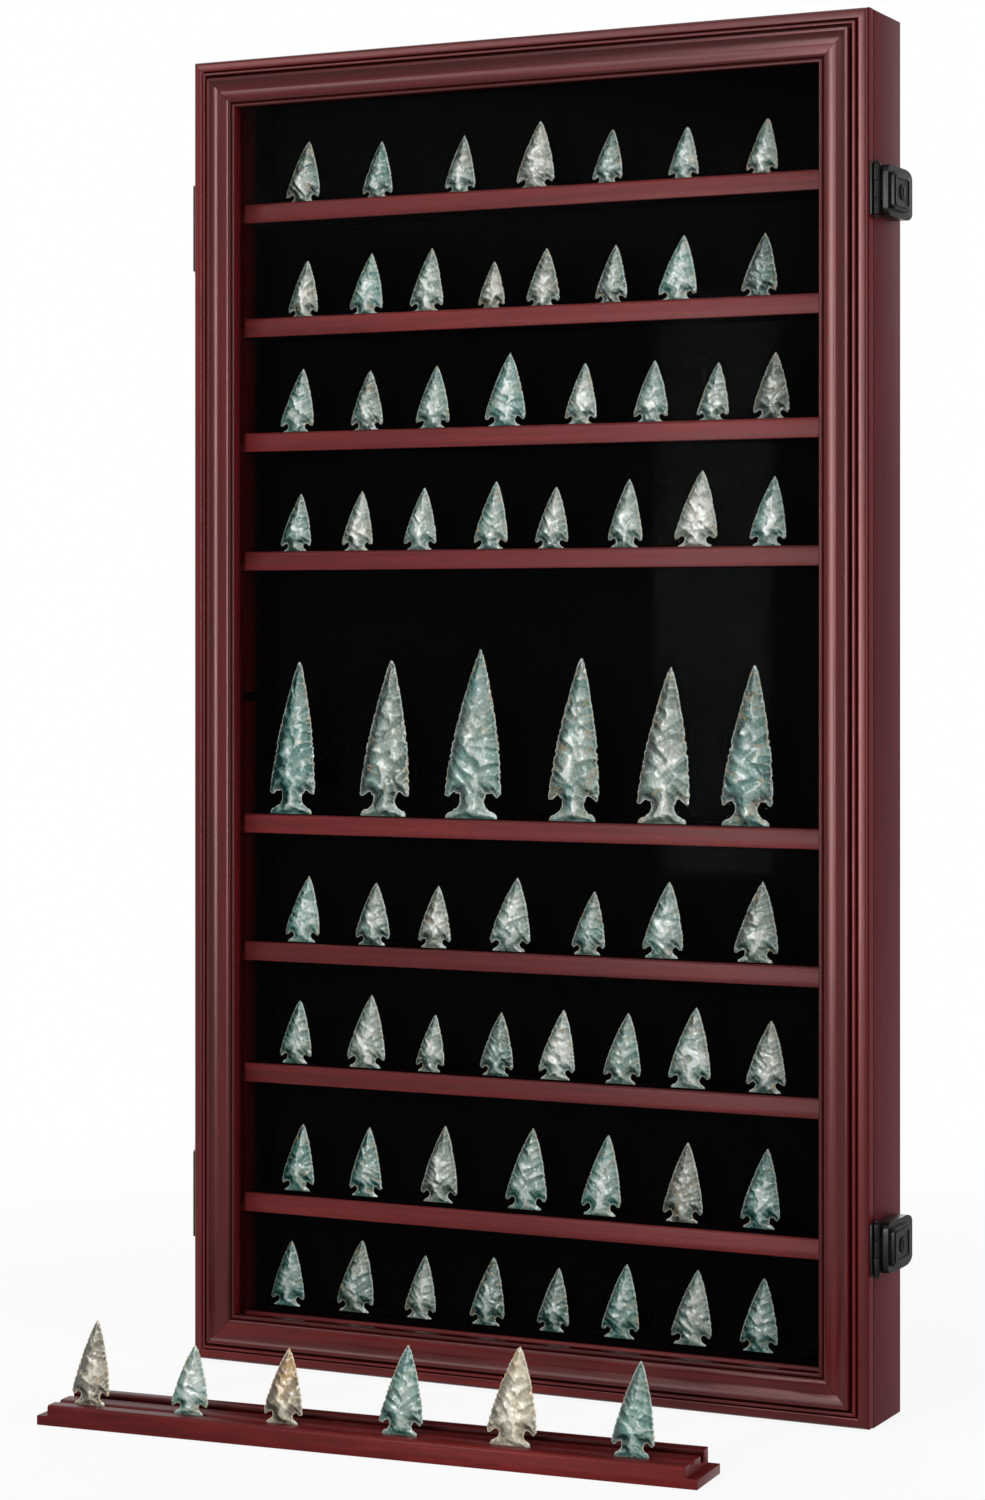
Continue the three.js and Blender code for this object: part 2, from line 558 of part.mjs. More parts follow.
// The key plug about its own axis, X off the side of the case: head, keyway and a cam that points back
function lockPlug() {
  const side = -BARREL_RADIUS;
  const face = side + HASP_HEIGHT_OFF_SIDE - FIT + HASP_BLOCK_RISE + PLUG_PROUD;
  const camTop = side + KEEPER_HEIGHT - KEEPER_LIP - FIT;
  const camBottom = camTop - CAM_THICKNESS;
  const barrel = sidewaysCylinder(PLUG_RADIUS, camBottom, face);
  const cam = alongX(roundedOutline(-CAM_WIDTH / 2, -CAM_WIDTH / 2, CAM_LENGTH, CAM_WIDTH / 2, CAM_WIDTH / 4),
    camBottom, camTop);
  const keyway = block(
    [face - KEYWAY_DEPTH, -KEYWAY_WIDTH / 2, -KEYWAY_LENGTH / 2],
    [face + OVERRUN, KEYWAY_WIDTH / 2, KEYWAY_LENGTH / 2]);
  return cut(joined(barrel, cam), keyway);
}

// The strike on the side of the case: a plate with a keeper that the turned cam lies behind and under
function strike() {
  const side = -BARREL_RADIUS;
  const plug = plugPlace();
  const keeperLow = PLUG_RADIUS + FIT;
  const keeperHigh = STRIKE_HEIGHT / 2;
  const nose = plug - CAM_WIDTH / 2 - FIT;
  const plateFront = BARREL_RADIUS + HASP_WALL + 3 * FIT;
  const plate = alongX(roundedOutline(plateFront, -STRIKE_HEIGHT / 2, plateFront + STRIKE_DEPTH,
    STRIKE_HEIGHT / 2, HASP_BLOCK_RADIUS), side, side + STRIKE_THICKNESS);
  const post = block([side, nose - KEEPER_WALL, keeperLow], [side + KEEPER_HEIGHT, nose, keeperHigh]);
  const lip = block(
    [side + KEEPER_HEIGHT - KEEPER_LIP, nose - KEEPER_WALL, keeperLow],
    [side + KEEPER_HEIGHT, plug + CAM_WIDTH / 2, keeperHigh]);
  return joined(plate, post, lip);
}

function addLocks(parent) {
  const heights = { lower: LOCK_END_DISTANCE, upper: CASE_HEIGHT - LOCK_END_DISTANCE };
  for (const [name, z] of Object.entries(heights)) {
    const lock = new THREE.Group();
    lock.position.set(HINGE_X, SEAM - HASP_PIN_SETBACK, z);
    parent.add(lock);
    const doorLeaf = leaf(LOCK_HEIGHT, HASP_KNUCKLE_COUNT, 0, HASP_LEAF_WIDTH - BARREL_RADIUS, -1);
    addPiece(lock, `lock_leaf_${name}`, doorLeaf, blackMetal);
    addPiece(lock, `lock_pin_${name}`, hingePin(LOCK_HEIGHT), blackMetal);
    addPiece(lock, `hasp_cover_${name}`, haspCover(), blackMetal);
    addPiece(lock, `lock_plug_${name}`, lockPlug(), blackMetal, 0, plugPlace());
    addPiece(lock, `lock_strike_${name}`, strike(), blackMetal);
  }
}

const displayBox = new THREE.Group();
addCase(displayBox);
addShelves(displayBox);
addLooseShelf(displayBox);
const door = new THREE.Group();
displayBox.add(door);
addFrame(door);
addGlazing(door);
addHinges(displayBox);
addLocks(displayBox);

export default displayBox;
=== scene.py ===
"""Looks of a wall display box for arrowheads: wood case, moulded glazed door, key hasps, stone points."""
import logging
import math
import random
from collections.abc import Iterable, Sequence
from dataclasses import dataclass, field, replace
from enum import Enum
from typing import ClassVar

import bmesh
import bpy
import numpy as np
from mathutils import Matrix, Vector
from mathutils.geometry import delaunay_2d_cdt


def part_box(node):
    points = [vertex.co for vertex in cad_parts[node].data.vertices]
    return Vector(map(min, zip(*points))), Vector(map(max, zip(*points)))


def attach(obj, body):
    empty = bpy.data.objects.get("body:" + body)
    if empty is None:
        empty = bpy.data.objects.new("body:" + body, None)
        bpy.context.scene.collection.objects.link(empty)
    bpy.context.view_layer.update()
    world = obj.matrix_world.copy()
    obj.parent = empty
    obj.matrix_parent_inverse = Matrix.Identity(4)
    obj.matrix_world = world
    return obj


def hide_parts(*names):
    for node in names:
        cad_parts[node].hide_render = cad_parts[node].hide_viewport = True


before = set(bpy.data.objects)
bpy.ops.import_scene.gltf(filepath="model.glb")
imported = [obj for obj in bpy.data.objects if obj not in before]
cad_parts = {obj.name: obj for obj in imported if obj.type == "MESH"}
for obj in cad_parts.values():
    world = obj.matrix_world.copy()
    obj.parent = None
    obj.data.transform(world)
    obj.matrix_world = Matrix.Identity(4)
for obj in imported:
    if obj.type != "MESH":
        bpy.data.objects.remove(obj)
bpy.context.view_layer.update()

MM = 0.001
log = logging.getLogger("display_box")

Colour = tuple[float, float, float]
Point2 = tuple[float, float]
Point3 = tuple[float, float, float]
Sockets = dict[str | int, object]
Mesh = bmesh.types.BMesh
Array = np.ndarray

WHITE: Colour = (1.0, 1.0, 1.0)
# The loose shelf stands slightly askew. This is its turn about the upright, in radians.
LOOSE_TURN = 0.0214 * math.pi


def srgb(red: int, green: int, blue: int) -> Colour:
    """Return the linear colour of an sRGB colour given in steps of 255."""
    def linear(step: int) -> float:
        """Return one channel made linear."""
        share = step / 255
        return share / 12.92 if share <= 0.04045 else ((share + 0.055) / 1.055) ** 2.4
    return linear(red), linear(green), linear(blue)


class Axis(Enum):
    """The way that the grain of a piece of wood runs."""

    X = 0
    Z = 2


class Value:
    """A number's socket in a material, with Python's arithmetic on it."""

    def __init__(self, graph: "Graph", socket: bpy.types.NodeSocket) -> None:
        """Keep the graph that the socket is in.

        Args:
            graph: the material's graph.
            socket: an output socket that gives a number.
        """
        self.graph = graph
        self.socket = socket

    def _maths(self, operation: str, *terms: "Value | float") -> "Value":
        """Return the result of a Math node on these terms.

        Args:
            operation: the Math node's operation.
            terms: its inputs, in order.
        """
        made = self.graph.node("ShaderNodeMath", {"operation": operation}, dict(enumerate(terms)))
        return Value(self.graph, made.outputs[0])

    def __add__(self, other: "Value | float") -> "Value":
        """Return self + other."""
        return self._maths("ADD", self, other)

    __radd__ = __add__

    def __sub__(self, other: "Value | float") -> "Value":
        """Return self - other."""
        return self._maths("SUBTRACT", self, other)

    def __rsub__(self, other: float) -> "Value":
        """Return other - self."""
        return self._maths("SUBTRACT", other, self)

    def __mul__(self, other: "Value | float") -> "Value":
        """Return self * other."""
        return self._maths("MULTIPLY", self, other)

    __rmul__ = __mul__

    def above(self, low: float, high: float) -> "Value":
        """Return a smooth step from 0 at low to 1 at high.

        Args:
            low: the value that gives 0.
            high: the value that gives 1.
        """
        made = self.graph.node(
            "ShaderNodeMapRange", {"interpolation_type": "SMOOTHSTEP"},
            {"Value": self, "From Min": low, "From Max": high, "To Min": 0.0, "To Max": 1.0})
        return Value(self.graph, made.outputs[0])

    def clamped(self) -> "Value":
        """Return the value held between 0 and 1."""
        made = self.graph.node("ShaderNodeClamp", {}, {"Value": self})
        return Value(self.graph, made.outputs[0])


class Graph:
    """The nodes of one material, or of the world, made one call at a time."""

    def __init__(self, name: str, world: bool = False) -> None:
        """Start a material or a world with nothing but its output.

        Args:
            name: its name.
            world: whether it is a world.
        """
        self.owner = bpy.data.worlds.new(name) if world else bpy.data.materials.new(name)
        self.owner.use_nodes = True
        self.tree = self.owner.node_tree
        self.tree.nodes.clear()
        self.output = self.node("ShaderNodeOutputWorld" if world else "ShaderNodeOutputMaterial")

    def node(self, kind: str, settings: dict[str, object] | None = None,
             sockets: Sockets | None = None) -> bpy.types.Node:
        """Make one node.

        Args:
            kind: the node's type name.
            settings: its settings, set before its sockets; "stops" gives a ramp's stops.
            sockets: values, Values or output sockets for its inputs, by name or place.

        Returns:
            The new node.
        """
        made = self.tree.nodes.new(kind)
        for name, value in (settings or {}).items():
            if name == "stops":
                self._set_stops(made, value)
            else:
                setattr(made, name, value)
        for key, value in (sockets or {}).items():
            target = made.inputs[key]
            if isinstance(value, Value):
                value = value.socket
            if isinstance(value, bpy.types.NodeSocket):
                self.tree.links.new(value, target)
            elif target.type == "RGBA" and len(value) == 3:
                target.default_value = (*value, 1.0)
            else:
                target.default_value = value
        return made

    @staticmethod
    def _set_stops(ramp: bpy.types.Node, stops: Sequence[tuple[float, Colour]]) -> None:
        """Give a colour ramp its stops.

        Args:
            ramp: the colour ramp's node.
            stops: each stop's place and colour, in order.
        """
        elements = ramp.color_ramp.elements
        while len(elements) < len(stops):
            elements.new(1.0)
        for element, (place, colour) in zip(elements, stops):
            element.position = place
            element.color = (*colour, 1.0)

    def value(self, kind: str, settings: dict[str, object] | None = None, sockets: Sockets | None = None,
              output: str | int = 0) -> Value:
        """Make one node and return one of its outputs as a Value.

        Args:
            kind: the node's type name.
            settings: its settings, as for node.
            sockets: its inputs, as for node.
            output: the output's name or place.
        """
        return Value(self, self.node(kind, settings, sockets).outputs[output])

    def place(self, scale: Sequence[float] = (1, 1, 1), shift: Sequence[float] = (0, 0, 0)) -> Value:
        """Return the object's own coordinates, in metres, scaled for a texture.

        Args:
            scale: cells per metre along each axis.
            shift: a shift after scaling.
        """
        coordinates = self.node("ShaderNodeTexCoord").outputs["Object"]
        return self.value("ShaderNodeMapping", {}, {"Vector": coordinates, "Location": shift, "Scale": scale})

    def noise(self, scale: float | Sequence[float], detail: float = 3.0, roughness: float = 0.6,
              distortion: float = 0.0, shift: Sequence[float] = (0, 0, 0)) -> Value:
        """Return fractal noise between 0 and 1.

        Args:
            scale: cells per metre, in every direction or along each axis.
            detail: the number of finer layers.
            roughness: how strong the finer layers are.
            distortion: how far the pattern is warped.
            shift: a shift that makes one pattern unlike another.
        """
        scales = scale if isinstance(scale, Sequence) else (scale, scale, scale)
        return self.value("ShaderNodeTexNoise", {}, {
            "Vector": self.place(scales, shift), "Scale": 1.0, "Detail": detail, "Roughness": roughness,
            "Distortion": distortion}, "Fac")

    def mix(self, share: "Value | float", first: object, second: object) -> Value:
        """Return a mix of two colours.

        Args:
            share: how much of the second colour.
            first: a colour or a socket that gives one.
            second: a colour or a socket that gives one.
        """
        return self.value("ShaderNodeMix", {"data_type": "RGBA"}, {0: share, 6: first, 7: second}, 2)

    def ramp(self, share: Value, *stops: tuple[float, Colour]) -> Value:
        """Return the colour of a ramp at a value.

        Args:
            share: the value.
            stops: each stop's place and colour, in order.
        """
        return self.value("ShaderNodeValToRGB", {"stops": stops}, {"Fac": share})

    def bump(self, height: Value, distance: float, strength: float) -> Value:
        """Return a normal raised by a height between 0 and 1.

        Args:
            height: the height.
            distance: the height of 1, in metres.
            strength: how much of the bump shows.
        """
        return self.value("ShaderNodeBump", {}, {
            "Height": height, "Distance": distance, "Strength": strength})

    def sideways(self) -> Value:
        """Return the square of how far a face is turned to the left or right."""
        faces = self.node("ShaderNodeTexCoord").outputs["Normal"]
        across = self.value("ShaderNodeSeparateXYZ", {}, {0: faces}, "X")
        return across * across

    def seen(self) -> Value:
        """Return 1 for what the camera sees, also in a shiny face or through glass, and 0 for other light."""
        paths = self.node("ShaderNodeLightPath")
        camera, glossy, through = (Value(self, paths.outputs[f"Is {kind} Ray"])
                                   for kind in ("Camera", "Glossy", "Transmission"))
        return (camera + glossy + through).clamped()

    def blended(self, share: Value, first: bpy.types.Node, second: bpy.types.Node) -> bpy.types.ID:
        """Finish with a mix of two shaders.

        Args:
            share: how much of the second shader.
            first: the shader at 0.
            second: the shader at 1.

        Returns:
            The material or the world.
        """
        return self.finish(self.node("ShaderNodeMixShader", {}, {
            0: share, 1: first.outputs[0], 2: second.outputs[0]}))

    def finish(self, shader: bpy.types.Node) -> bpy.types.ID:
        """Join a shader to the output and return the material or the world."""
        self.tree.links.new(shader.outputs[0], self.output.inputs["Surface"])
        return self.owner

    def shader(self, sockets: Sockets) -> bpy.types.Node:
        """Return a Principled shader."""
        return self.node("ShaderNodeBsdfPrincipled", {}, sockets)

    def dulled(self, sockets: Sockets, level: float) -> bpy.types.Material:
        """Finish the material with a shader that hardly shines on faces turned to the left or right.

        Args:
            sockets: the shader's inputs.
            level: the specular level on those faces.
        """
        dull = self.shader({**sockets, "Specular IOR Level": level})
        return self.blended(self.sideways().above(0.3, 0.7), self.shader(sockets), dull)


@dataclass(frozen=True)
class Wood:
    """Cherry-stained hardwood under a satin varnish."""

    name: str
    grain: Axis
    dark: Colour = srgb(44, 5, 5)
    base: Colour = srgb(70, 11, 10)
    light: Colour = srgb(94, 20, 18)
    roughness: float = 0.24
    gloss: float = 0.32
    gloss_tint: Colour = (1.0, 0.62, 0.62)
    dull_sides: bool = False
    dull_gloss: float = 0.02
    carved: bool = False
    # Where set, the wood behind this depth (Y, in its own coordinates) fades over the fade's length into
    # painted shade.
    painted_shade_behind: float | None = None
    painted_shade_fade: float = 0.8 * MM
    seed: float = 0.0
    slot: ClassVar[str] = "cherry_wood"

    def _scale(self, along: float, across: float) -> tuple[float, float, float]:
        """Return texture scales that are low along the grain and high across it."""
        scale = [across, across, across]
        scale[self.grain.value] = along
        return scale[0], scale[1], scale[2]

    def build(self) -> bpy.types.Material:
        """Make the material.

        Returns:
            Stained wood with growth bands, fine streaks, open pores and uneven varnish, and where set painted
            shade behind a depth.
        """
        graph = Graph(self.name)
        shift = (self.seed, self.seed * 1.7, self.seed * 2.3)
        bands = graph.noise(self._scale(2.2, 34.0), 3.0, 0.5, 0.6, shift)
        streaks = graph.noise(self._scale(9.0, 420.0), 4.0, 0.62, 0.2, shift)
        pores = graph.noise(self._scale(60.0, 1500.0), 2.0, 0.5, shift=shift)
        blotch = graph.noise(self._scale(5.0, 12.0), 2.0, 0.5, shift=shift)
        figure = bands * 0.55 + streaks * 0.45
        wood_colour = graph.ramp(figure, (0.32, self.dark), (0.5, self.base), (0.68, self.light))
        wood_colour = graph.mix((1 - pores.above(0.30, 0.42)) * 0.55, wood_colour, self.dark)
        wood_colour = graph.mix(blotch.above(0.45, 0.75) * 0.35, wood_colour, self.dark)
        normal = graph.bump(streaks * 0.5 + pores * 0.5, 0.1 * MM, 0.3)
        rough = self.roughness + (streaks - 0.5) * 0.1 + (blotch - 0.5) * 0.06
        sockets: Sockets = {
            "Base Color": wood_colour, "Roughness": rough, "Normal": normal, "IOR": 1.5,
            "Specular Tint": self.gloss_tint, "Specular IOR Level": self.gloss}
        if self.carved:
            return self._carved(graph, sockets, streaks)
        if self.dull_sides:
            return graph.dulled(sockets, self.dull_gloss)
        if self.painted_shade_behind is None:
            return graph.finish(graph.shader(sockets))
        # Painted shade: behind the depth the wood fades into a near-black, unlit shader that stands for the
        # shade inside the box.
        depth = graph.value("ShaderNodeSeparateXYZ", {}, {0: graph.place()}, "Y")
        unlit = graph.shader({"Base Color": graph.mix(streaks, srgb(3, 1, 1), srgb(9, 3, 3)),
                              "Roughness": 0.9, "Specular IOR Level": 0.0})
        return graph.blended(depth.above(self.painted_shade_behind, self.painted_shade_behind + self.painted_shade_fade),
                             graph.shader(sockets), unlit)

    def _carved(self, graph: Graph, sockets: Sockets, streaks: Value) -> bpy.types.Material:
        """Finish a moulding with painted shade in its hollows, which are darkened and their varnish dulled,
        and painted sheen on faces turned to the left or right.

        Args:
            graph: the material's nodes.
            sockets: the inputs of the varnish on raised places.
            streaks: the fine figure.

        Returns:
            A material led by the mesh's painted-shade number: 0 raised and bright, 0.5 painted dark, 1
            painted dark and dull.
        """
        # Painted shade: the number darkens the wood colour towards near black and, past 0.5, dulls the
        # varnish.
        recess_shade = graph.value("ShaderNodeAttribute", {"attribute_name": "recess_shade"}, {}, "Fac")
        # Painted sheen: faces turned to the left or right get a lighter red and a dull varnish.
        side = graph.sideways().above(0.55, 0.85)
        wood_colour = graph.mix((recess_shade * 2).clamped() * 0.75, sockets["Base Color"], srgb(26, 2, 2))
        wood_colour = graph.mix(side, wood_colour, graph.mix(streaks, srgb(78, 12, 14), srgb(108, 26, 28)))
        inputs = {**sockets, "Base Color": wood_colour}
        dull = graph.shader({**inputs, "Specular IOR Level": self.dull_gloss})
        return graph.blended((recess_shade * 2 - 1 + side).clamped(), graph.shader(inputs), dull)


@dataclass(frozen=True)
class Felt:
    """Black felt with a short nap."""

    name: str = "felt_black"
    dark: Colour = srgb(1, 1, 1)
    light: Colour = srgb(9, 9, 8)
    slot: ClassVar[str] = "black_felt"

    def build(self) -> bpy.types.Material:
        """Make the material.

        Returns:
            Matt black with fibres, small clumps and a faint sheen.
        """
        graph = Graph(self.name)
        fibres = graph.noise(2600, 3.0, 0.7, 1.5)
        clumps = graph.noise(260)
        colour = graph.mix((fibres * 0.6 + clumps * 0.4).above(0.4, 0.75), self.dark, self.light)
        return graph.finish(graph.shader({
            "Base Color": colour, "Roughness": 0.97, "Specular IOR Level": 0.01,
            "Normal": graph.bump(fibres * 0.7 + clumps * 0.3, 0.4 * MM, 0.6)}))


@dataclass(frozen=True)
class Glass:
    """Thin clear glass that hardly shows."""

    name: str = "glass_clear"
    tint: Colour = srgb(20, 24, 23)
    haze: float = 0.03
    smears: float = 0.02
    slot: ClassVar[str] = "clear_glass"

    def build(self) -> bpy.types.Material:
        """Make the material.

        Returns:
            Nearly clear glass with a trace of smears on it.
        """
        graph = Graph(self.name)
        smear = graph.noise((5, 5, 3), 4.0, 0.6, 1.2)
        return graph.finish(graph.shader({
            "Base Color": self.tint, "Roughness": 0.03 + smear.above(0.55, 0.8) * 0.05,
            "Specular IOR Level": 0.08, "Alpha": self.haze + smear.above(0.5, 0.85) * self.smears}))


@dataclass(frozen=True)
class Metal:
    """Metal parts: lacquered black, dark bronze or bare steel, by their colours."""

    slot: str
    name: str
    base: Colour
    worn: Colour
    metallic: float = 0.7
    roughness: float = 0.36
    gloss: float = 0.5
    brushed: float = 1.0
    dull_sides: bool = False
    dull_gloss: float = 0.03

    def build(self) -> bpy.types.Material:
        """Make the material.

        Returns:
            Metal with fine brushing, cloudy patches and tiny specks.
        """
        graph = Graph(self.name)
        brushing = graph.noise((900, 900, 900 / (1 + 9 * self.brushed)))
        cloud = graph.noise(70, 3.0, 0.55)
        specks = graph.noise(1400, 2.0)
        colour = graph.mix(cloud.above(0.35, 0.75) * 0.6, self.base, self.worn)
        colour = graph.mix(specks.above(0.62, 0.72) * 0.3, colour, self.worn)
        sockets = {
            "Base Color": colour, "Metallic": self.metallic,
            "Roughness": self.roughness + (brushing - 0.5) * 0.16 + (cloud - 0.5) * 0.14,
            "Specular IOR Level": self.gloss,
            "Normal": graph.bump(brushing * 0.6 + specks * 0.4, 0.08 * MM, 0.3)}
        if self.dull_sides:
            return graph.dulled(sockets, self.dull_gloss)
        return graph.finish(graph.shader(sockets))


@dataclass(frozen=True)
class Stone:
    """Knapped agate. The mesh's colours "knap" give how light each place is, with painted light and shade, in
    red, painted highlights on arrises and rims in green, amber flecks in blue and ripples in alpha, and its
    numbers "earth" run from teal to olive."""

    name: str
    teal: tuple[Colour, Colour, Colour, Colour]
    olive: tuple[Colour, Colour, Colour, Colour]
    warm: Colour
    # Colours of the painted highlights on rims and arrises, pale and amber.
    rim_highlight: Colour = srgb(184, 198, 188)
    rim_highlight_warm: Colour = srgb(182, 162, 127)
    amber: float = 0.7
    stops: tuple[float, float, float, float] = (0.06, 0.36, 0.7, 0.98)
    slot: ClassVar[str] = "point_stone"

    def build(self) -> bpy.types.Material:
        """Make the material.

        Returns:
            Cloudy translucent stone between two hues, with painted light and shade, painted highlights on
            arrises and rims, ripples and a glassy surface.
        """
        graph = Graph(self.name)
        knap = graph.node("ShaderNodeAttribute", {"attribute_name": "knap"})
        parts = graph.node("ShaderNodeSeparateColor", {}, {"Color": knap.outputs["Color"]})
        shade, painted_highlight, fleck = (Value(graph, parts.outputs[place]) for place in range(3))
        ripple = Value(graph, knap.outputs["Alpha"])
        earth = graph.value("ShaderNodeAttribute", {"attribute_name": "earth"}, {}, "Fac")
        cloud = graph.noise((150, 150, 110), 4.0, 0.6, 1.2)
        veins = graph.noise((480, 480, 360), 3.0, 0.6, 1.8)
        place = shade + (cloud - 0.5) * 0.5 + (veins - 0.5) * 0.28 + (ripple - 0.5) * 0.1
        hue = earth + (graph.noise((60, 60, 40), 2.0, 0.5) - 0.5) * 1.6
        colour = graph.mix(hue.clamped(), graph.ramp(place, *zip(self.stops, self.teal)),
                           graph.ramp(place, *zip(self.stops, self.olive)))
        flecks = graph.noise(260, 3.0, 0.6, 1.5)
        colour = graph.mix(fleck * flecks.above(0.46, 0.66) * self.amber, colour, self.warm)
        # Painted highlights on arrises and rims, pale or amber by a cloud, laid over the stone's colour.
        edge = graph.mix(cloud.above(0.48, 0.6), self.rim_highlight, self.rim_highlight_warm)
        colour = graph.mix(painted_highlight * 0.85, colour, edge)
        normal = graph.bump(veins * 0.6 + ripple * 0.4, 0.3 * MM, 0.35)
        return graph.finish(graph.shader({
            "Base Color": colour, "Roughness": 0.26 + (veins - 0.5) * 0.2, "Normal": normal,
            "Specular IOR Level": 0.5, "IOR": 1.54, "Coat Weight": 0.25, "Coat Roughness": 0.1}))


class Finish(Enum):
    """The finishes of the box."""

    # The door's moulding carries painted shade in its hollows and painted sheen on its sides.
    STILE = Wood("cherry_stile", Axis.Z, dark=srgb(54, 6, 6), base=srgb(80, 13, 12), light=srgb(104, 23, 20),
                 roughness=0.22, gloss=0.36, carved=True)
    RAIL = replace(STILE, name="cherry_rail", grain=Axis.X, seed=3.1)
    UPRIGHT = Wood("cherry_upright", Axis.Z, dull_sides=True)
    LEVEL = replace(UPRIGHT, name="cherry_level", grain=Axis.X, seed=3.1)
    # The side panels: the cherry made lighter and bluer as painted sheen of light glancing off them, with
    # little real gloss.
    SIDE = Wood("cherry_side", Axis.Z, seed=5.2, dark=srgb(62, 14, 20), base=srgb(84, 22, 30),
                light=srgb(100, 30, 37), roughness=0.5, gloss=0.04)
    # The inner walls: a very dark red, darkened partly as painted shade inside the box, that fades further
    # back into painted shade.
    INNER = Wood("cherry_inner_wall", Axis.Z, seed=7.7, dark=srgb(20, 0, 0), base=srgb(44, 3, 4),
                 light=srgb(58, 6, 7), roughness=0.6, gloss=0.02, painted_shade_behind=-14 * MM, painted_shade_fade=12 * MM)
    # The shelves: behind the front edge their tops fade into painted shade.
    SHELF = Wood("cherry_shelf", Axis.X, seed=9.4, dark=srgb(58, 14, 15), base=srgb(84, 22, 23),
                 light=srgb(106, 32, 32), roughness=0.4, gloss=0.26, painted_shade_behind=-19.6 * MM)
    # The loose shelf: painted shade in its deep groove and painted sheen on its ends, as on the moulding.
    LOOSE_SHELF = Wood("cherry_loose_shelf", Axis.X, seed=9.9, dark=srgb(54, 9, 9), base=srgb(82, 17, 17),
                       light=srgb(106, 28, 26), roughness=0.36, gloss=0.16, carved=True)
    BACK = Wood("cherry_back", Axis.Z, seed=12.0, dark=srgb(44, 10, 8), base=srgb(66, 17, 13),
                light=srgb(84, 26, 20), roughness=0.55, gloss=0.1)
    FELT = Felt()
    GLASS = Glass()
    BLACK_METAL = Metal("black_metal", "metal_black", srgb(12, 11, 10), srgb(25, 22, 19), 0.0, 0.3,
                        gloss=0.16, dull_sides=True)
    KEYWAY = Metal("black_metal", "metal_plug", srgb(8, 8, 7), srgb(18, 16, 14), 0.0, 0.4, gloss=0.1,
                   dull_sides=True)
    BRONZE = Metal("bronze", "bronze_dark", srgb(36, 26, 20), srgb(74, 54, 38), 0.8, 0.4)
    STEEL = Metal("pin_steel", "steel_pin", srgb(130, 128, 124), srgb(176, 174, 168), 1.0, 0.28, brushed=0.3)
    STONE = Stone("stone_teal",
                  (srgb(16, 48, 46), srgb(66, 109, 101), srgb(133, 155, 148), srgb(194, 201, 197)),
                  (srgb(36, 40, 34), srgb(89, 97, 87), srgb(143, 146, 136), srgb(201, 200, 194)),
                  srgb(150, 126, 92))
    AMBER_STONE = Stone("stone_amber",
                        (srgb(58, 56, 48), srgb(116, 110, 96), srgb(170, 164, 146), srgb(216, 212, 196)),
                        (srgb(70, 52, 34), srgb(140, 110, 72), srgb(190, 160, 112), srgb(222, 206, 170)),
                        srgb(186, 128, 70), srgb(224, 216, 194), srgb(206, 168, 112), 0.9)

    @property
    def material(self) -> bpy.types.Material:
        """Return the material, made at its first use."""
        return bpy.data.materials.get(self.value.name) or self.value.build()


@dataclass
class Piece:
    """A mesh on its way into the scene."""

    name: str
    body: str
    finish: Finish
    stands_for: tuple[str, ...] = ()
    smooth_angle: float = math.radians(32)

    def place(self, mesh: Mesh) -> None:
        """Turn the mesh into an object that rides on its body.

        Args:
            mesh: the mesh, in metres, in the frame's own coordinates.
        """
        data = bpy.data.meshes.new(self.name)
        bmesh.ops.recalc_face_normals(mesh, faces=mesh.faces)
        mesh.to_mesh(data)
        mesh.free()
        data.polygons.foreach_set("use_smooth", [True] * len(data.polygons))
        data.set_sharp_from_angle(angle=self.smooth_angle)
        data.materials.append(self.finish.material)
        made = bpy.data.objects.new(self.name, data)
        bpy.context.scene.collection.objects.link(made)
        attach(made, self.body)
        if self.stands_for:
            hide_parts(*self.stands_for)
        log.info("%s: %d faces on %s", self.name, len(data.polygons), self.body)


def loop(mesh: Mesh, points: Iterable[Sequence[float]]) -> list[bmesh.types.BMVert]:
    """Add a ring of vertices, without its face."""
    return [mesh.verts.new(point) for point in points]


def bridge(mesh: Mesh, rings: Sequence[Sequence[bmesh.types.BMVert]], capped: bool = True) -> None:
    """Join rings of equal length with quads.

    Args:
        mesh: the mesh that holds the rings.
        rings: the rings, in order.
        capped: whether the first and the last ring get a face.
    """
    for near, far in zip(rings, rings[1:]):
        count = len(near)
        for place in range(count):
            following = (place + 1) % count
            mesh.faces.new((near[place], near[following], far[following], far[place]))
    if capped:
        mesh.faces.new(list(reversed(rings[0])))
        mesh.faces.new(rings[-1])


def arc(across: float, up: float, wide: float, high: float, start: float, end: float,
        steps: int) -> list[Point2]:
    """Return points along part of an ellipse.

    Args:
        across: the centre's first coordinate.
        up: the centre's second coordinate.
        wide: the first radius.
        high: the second radius.
        start: the first angle, in quarter turns.
        end: the last angle, in quarter turns.
        steps: the number of chords.
    """
    quarter = math.pi / 2
    angles = (quarter * (start + (end - start) * step / steps) for step in range(steps + 1))
    return [(across + wide * math.cos(angle), up + high * math.sin(angle)) for angle in angles]


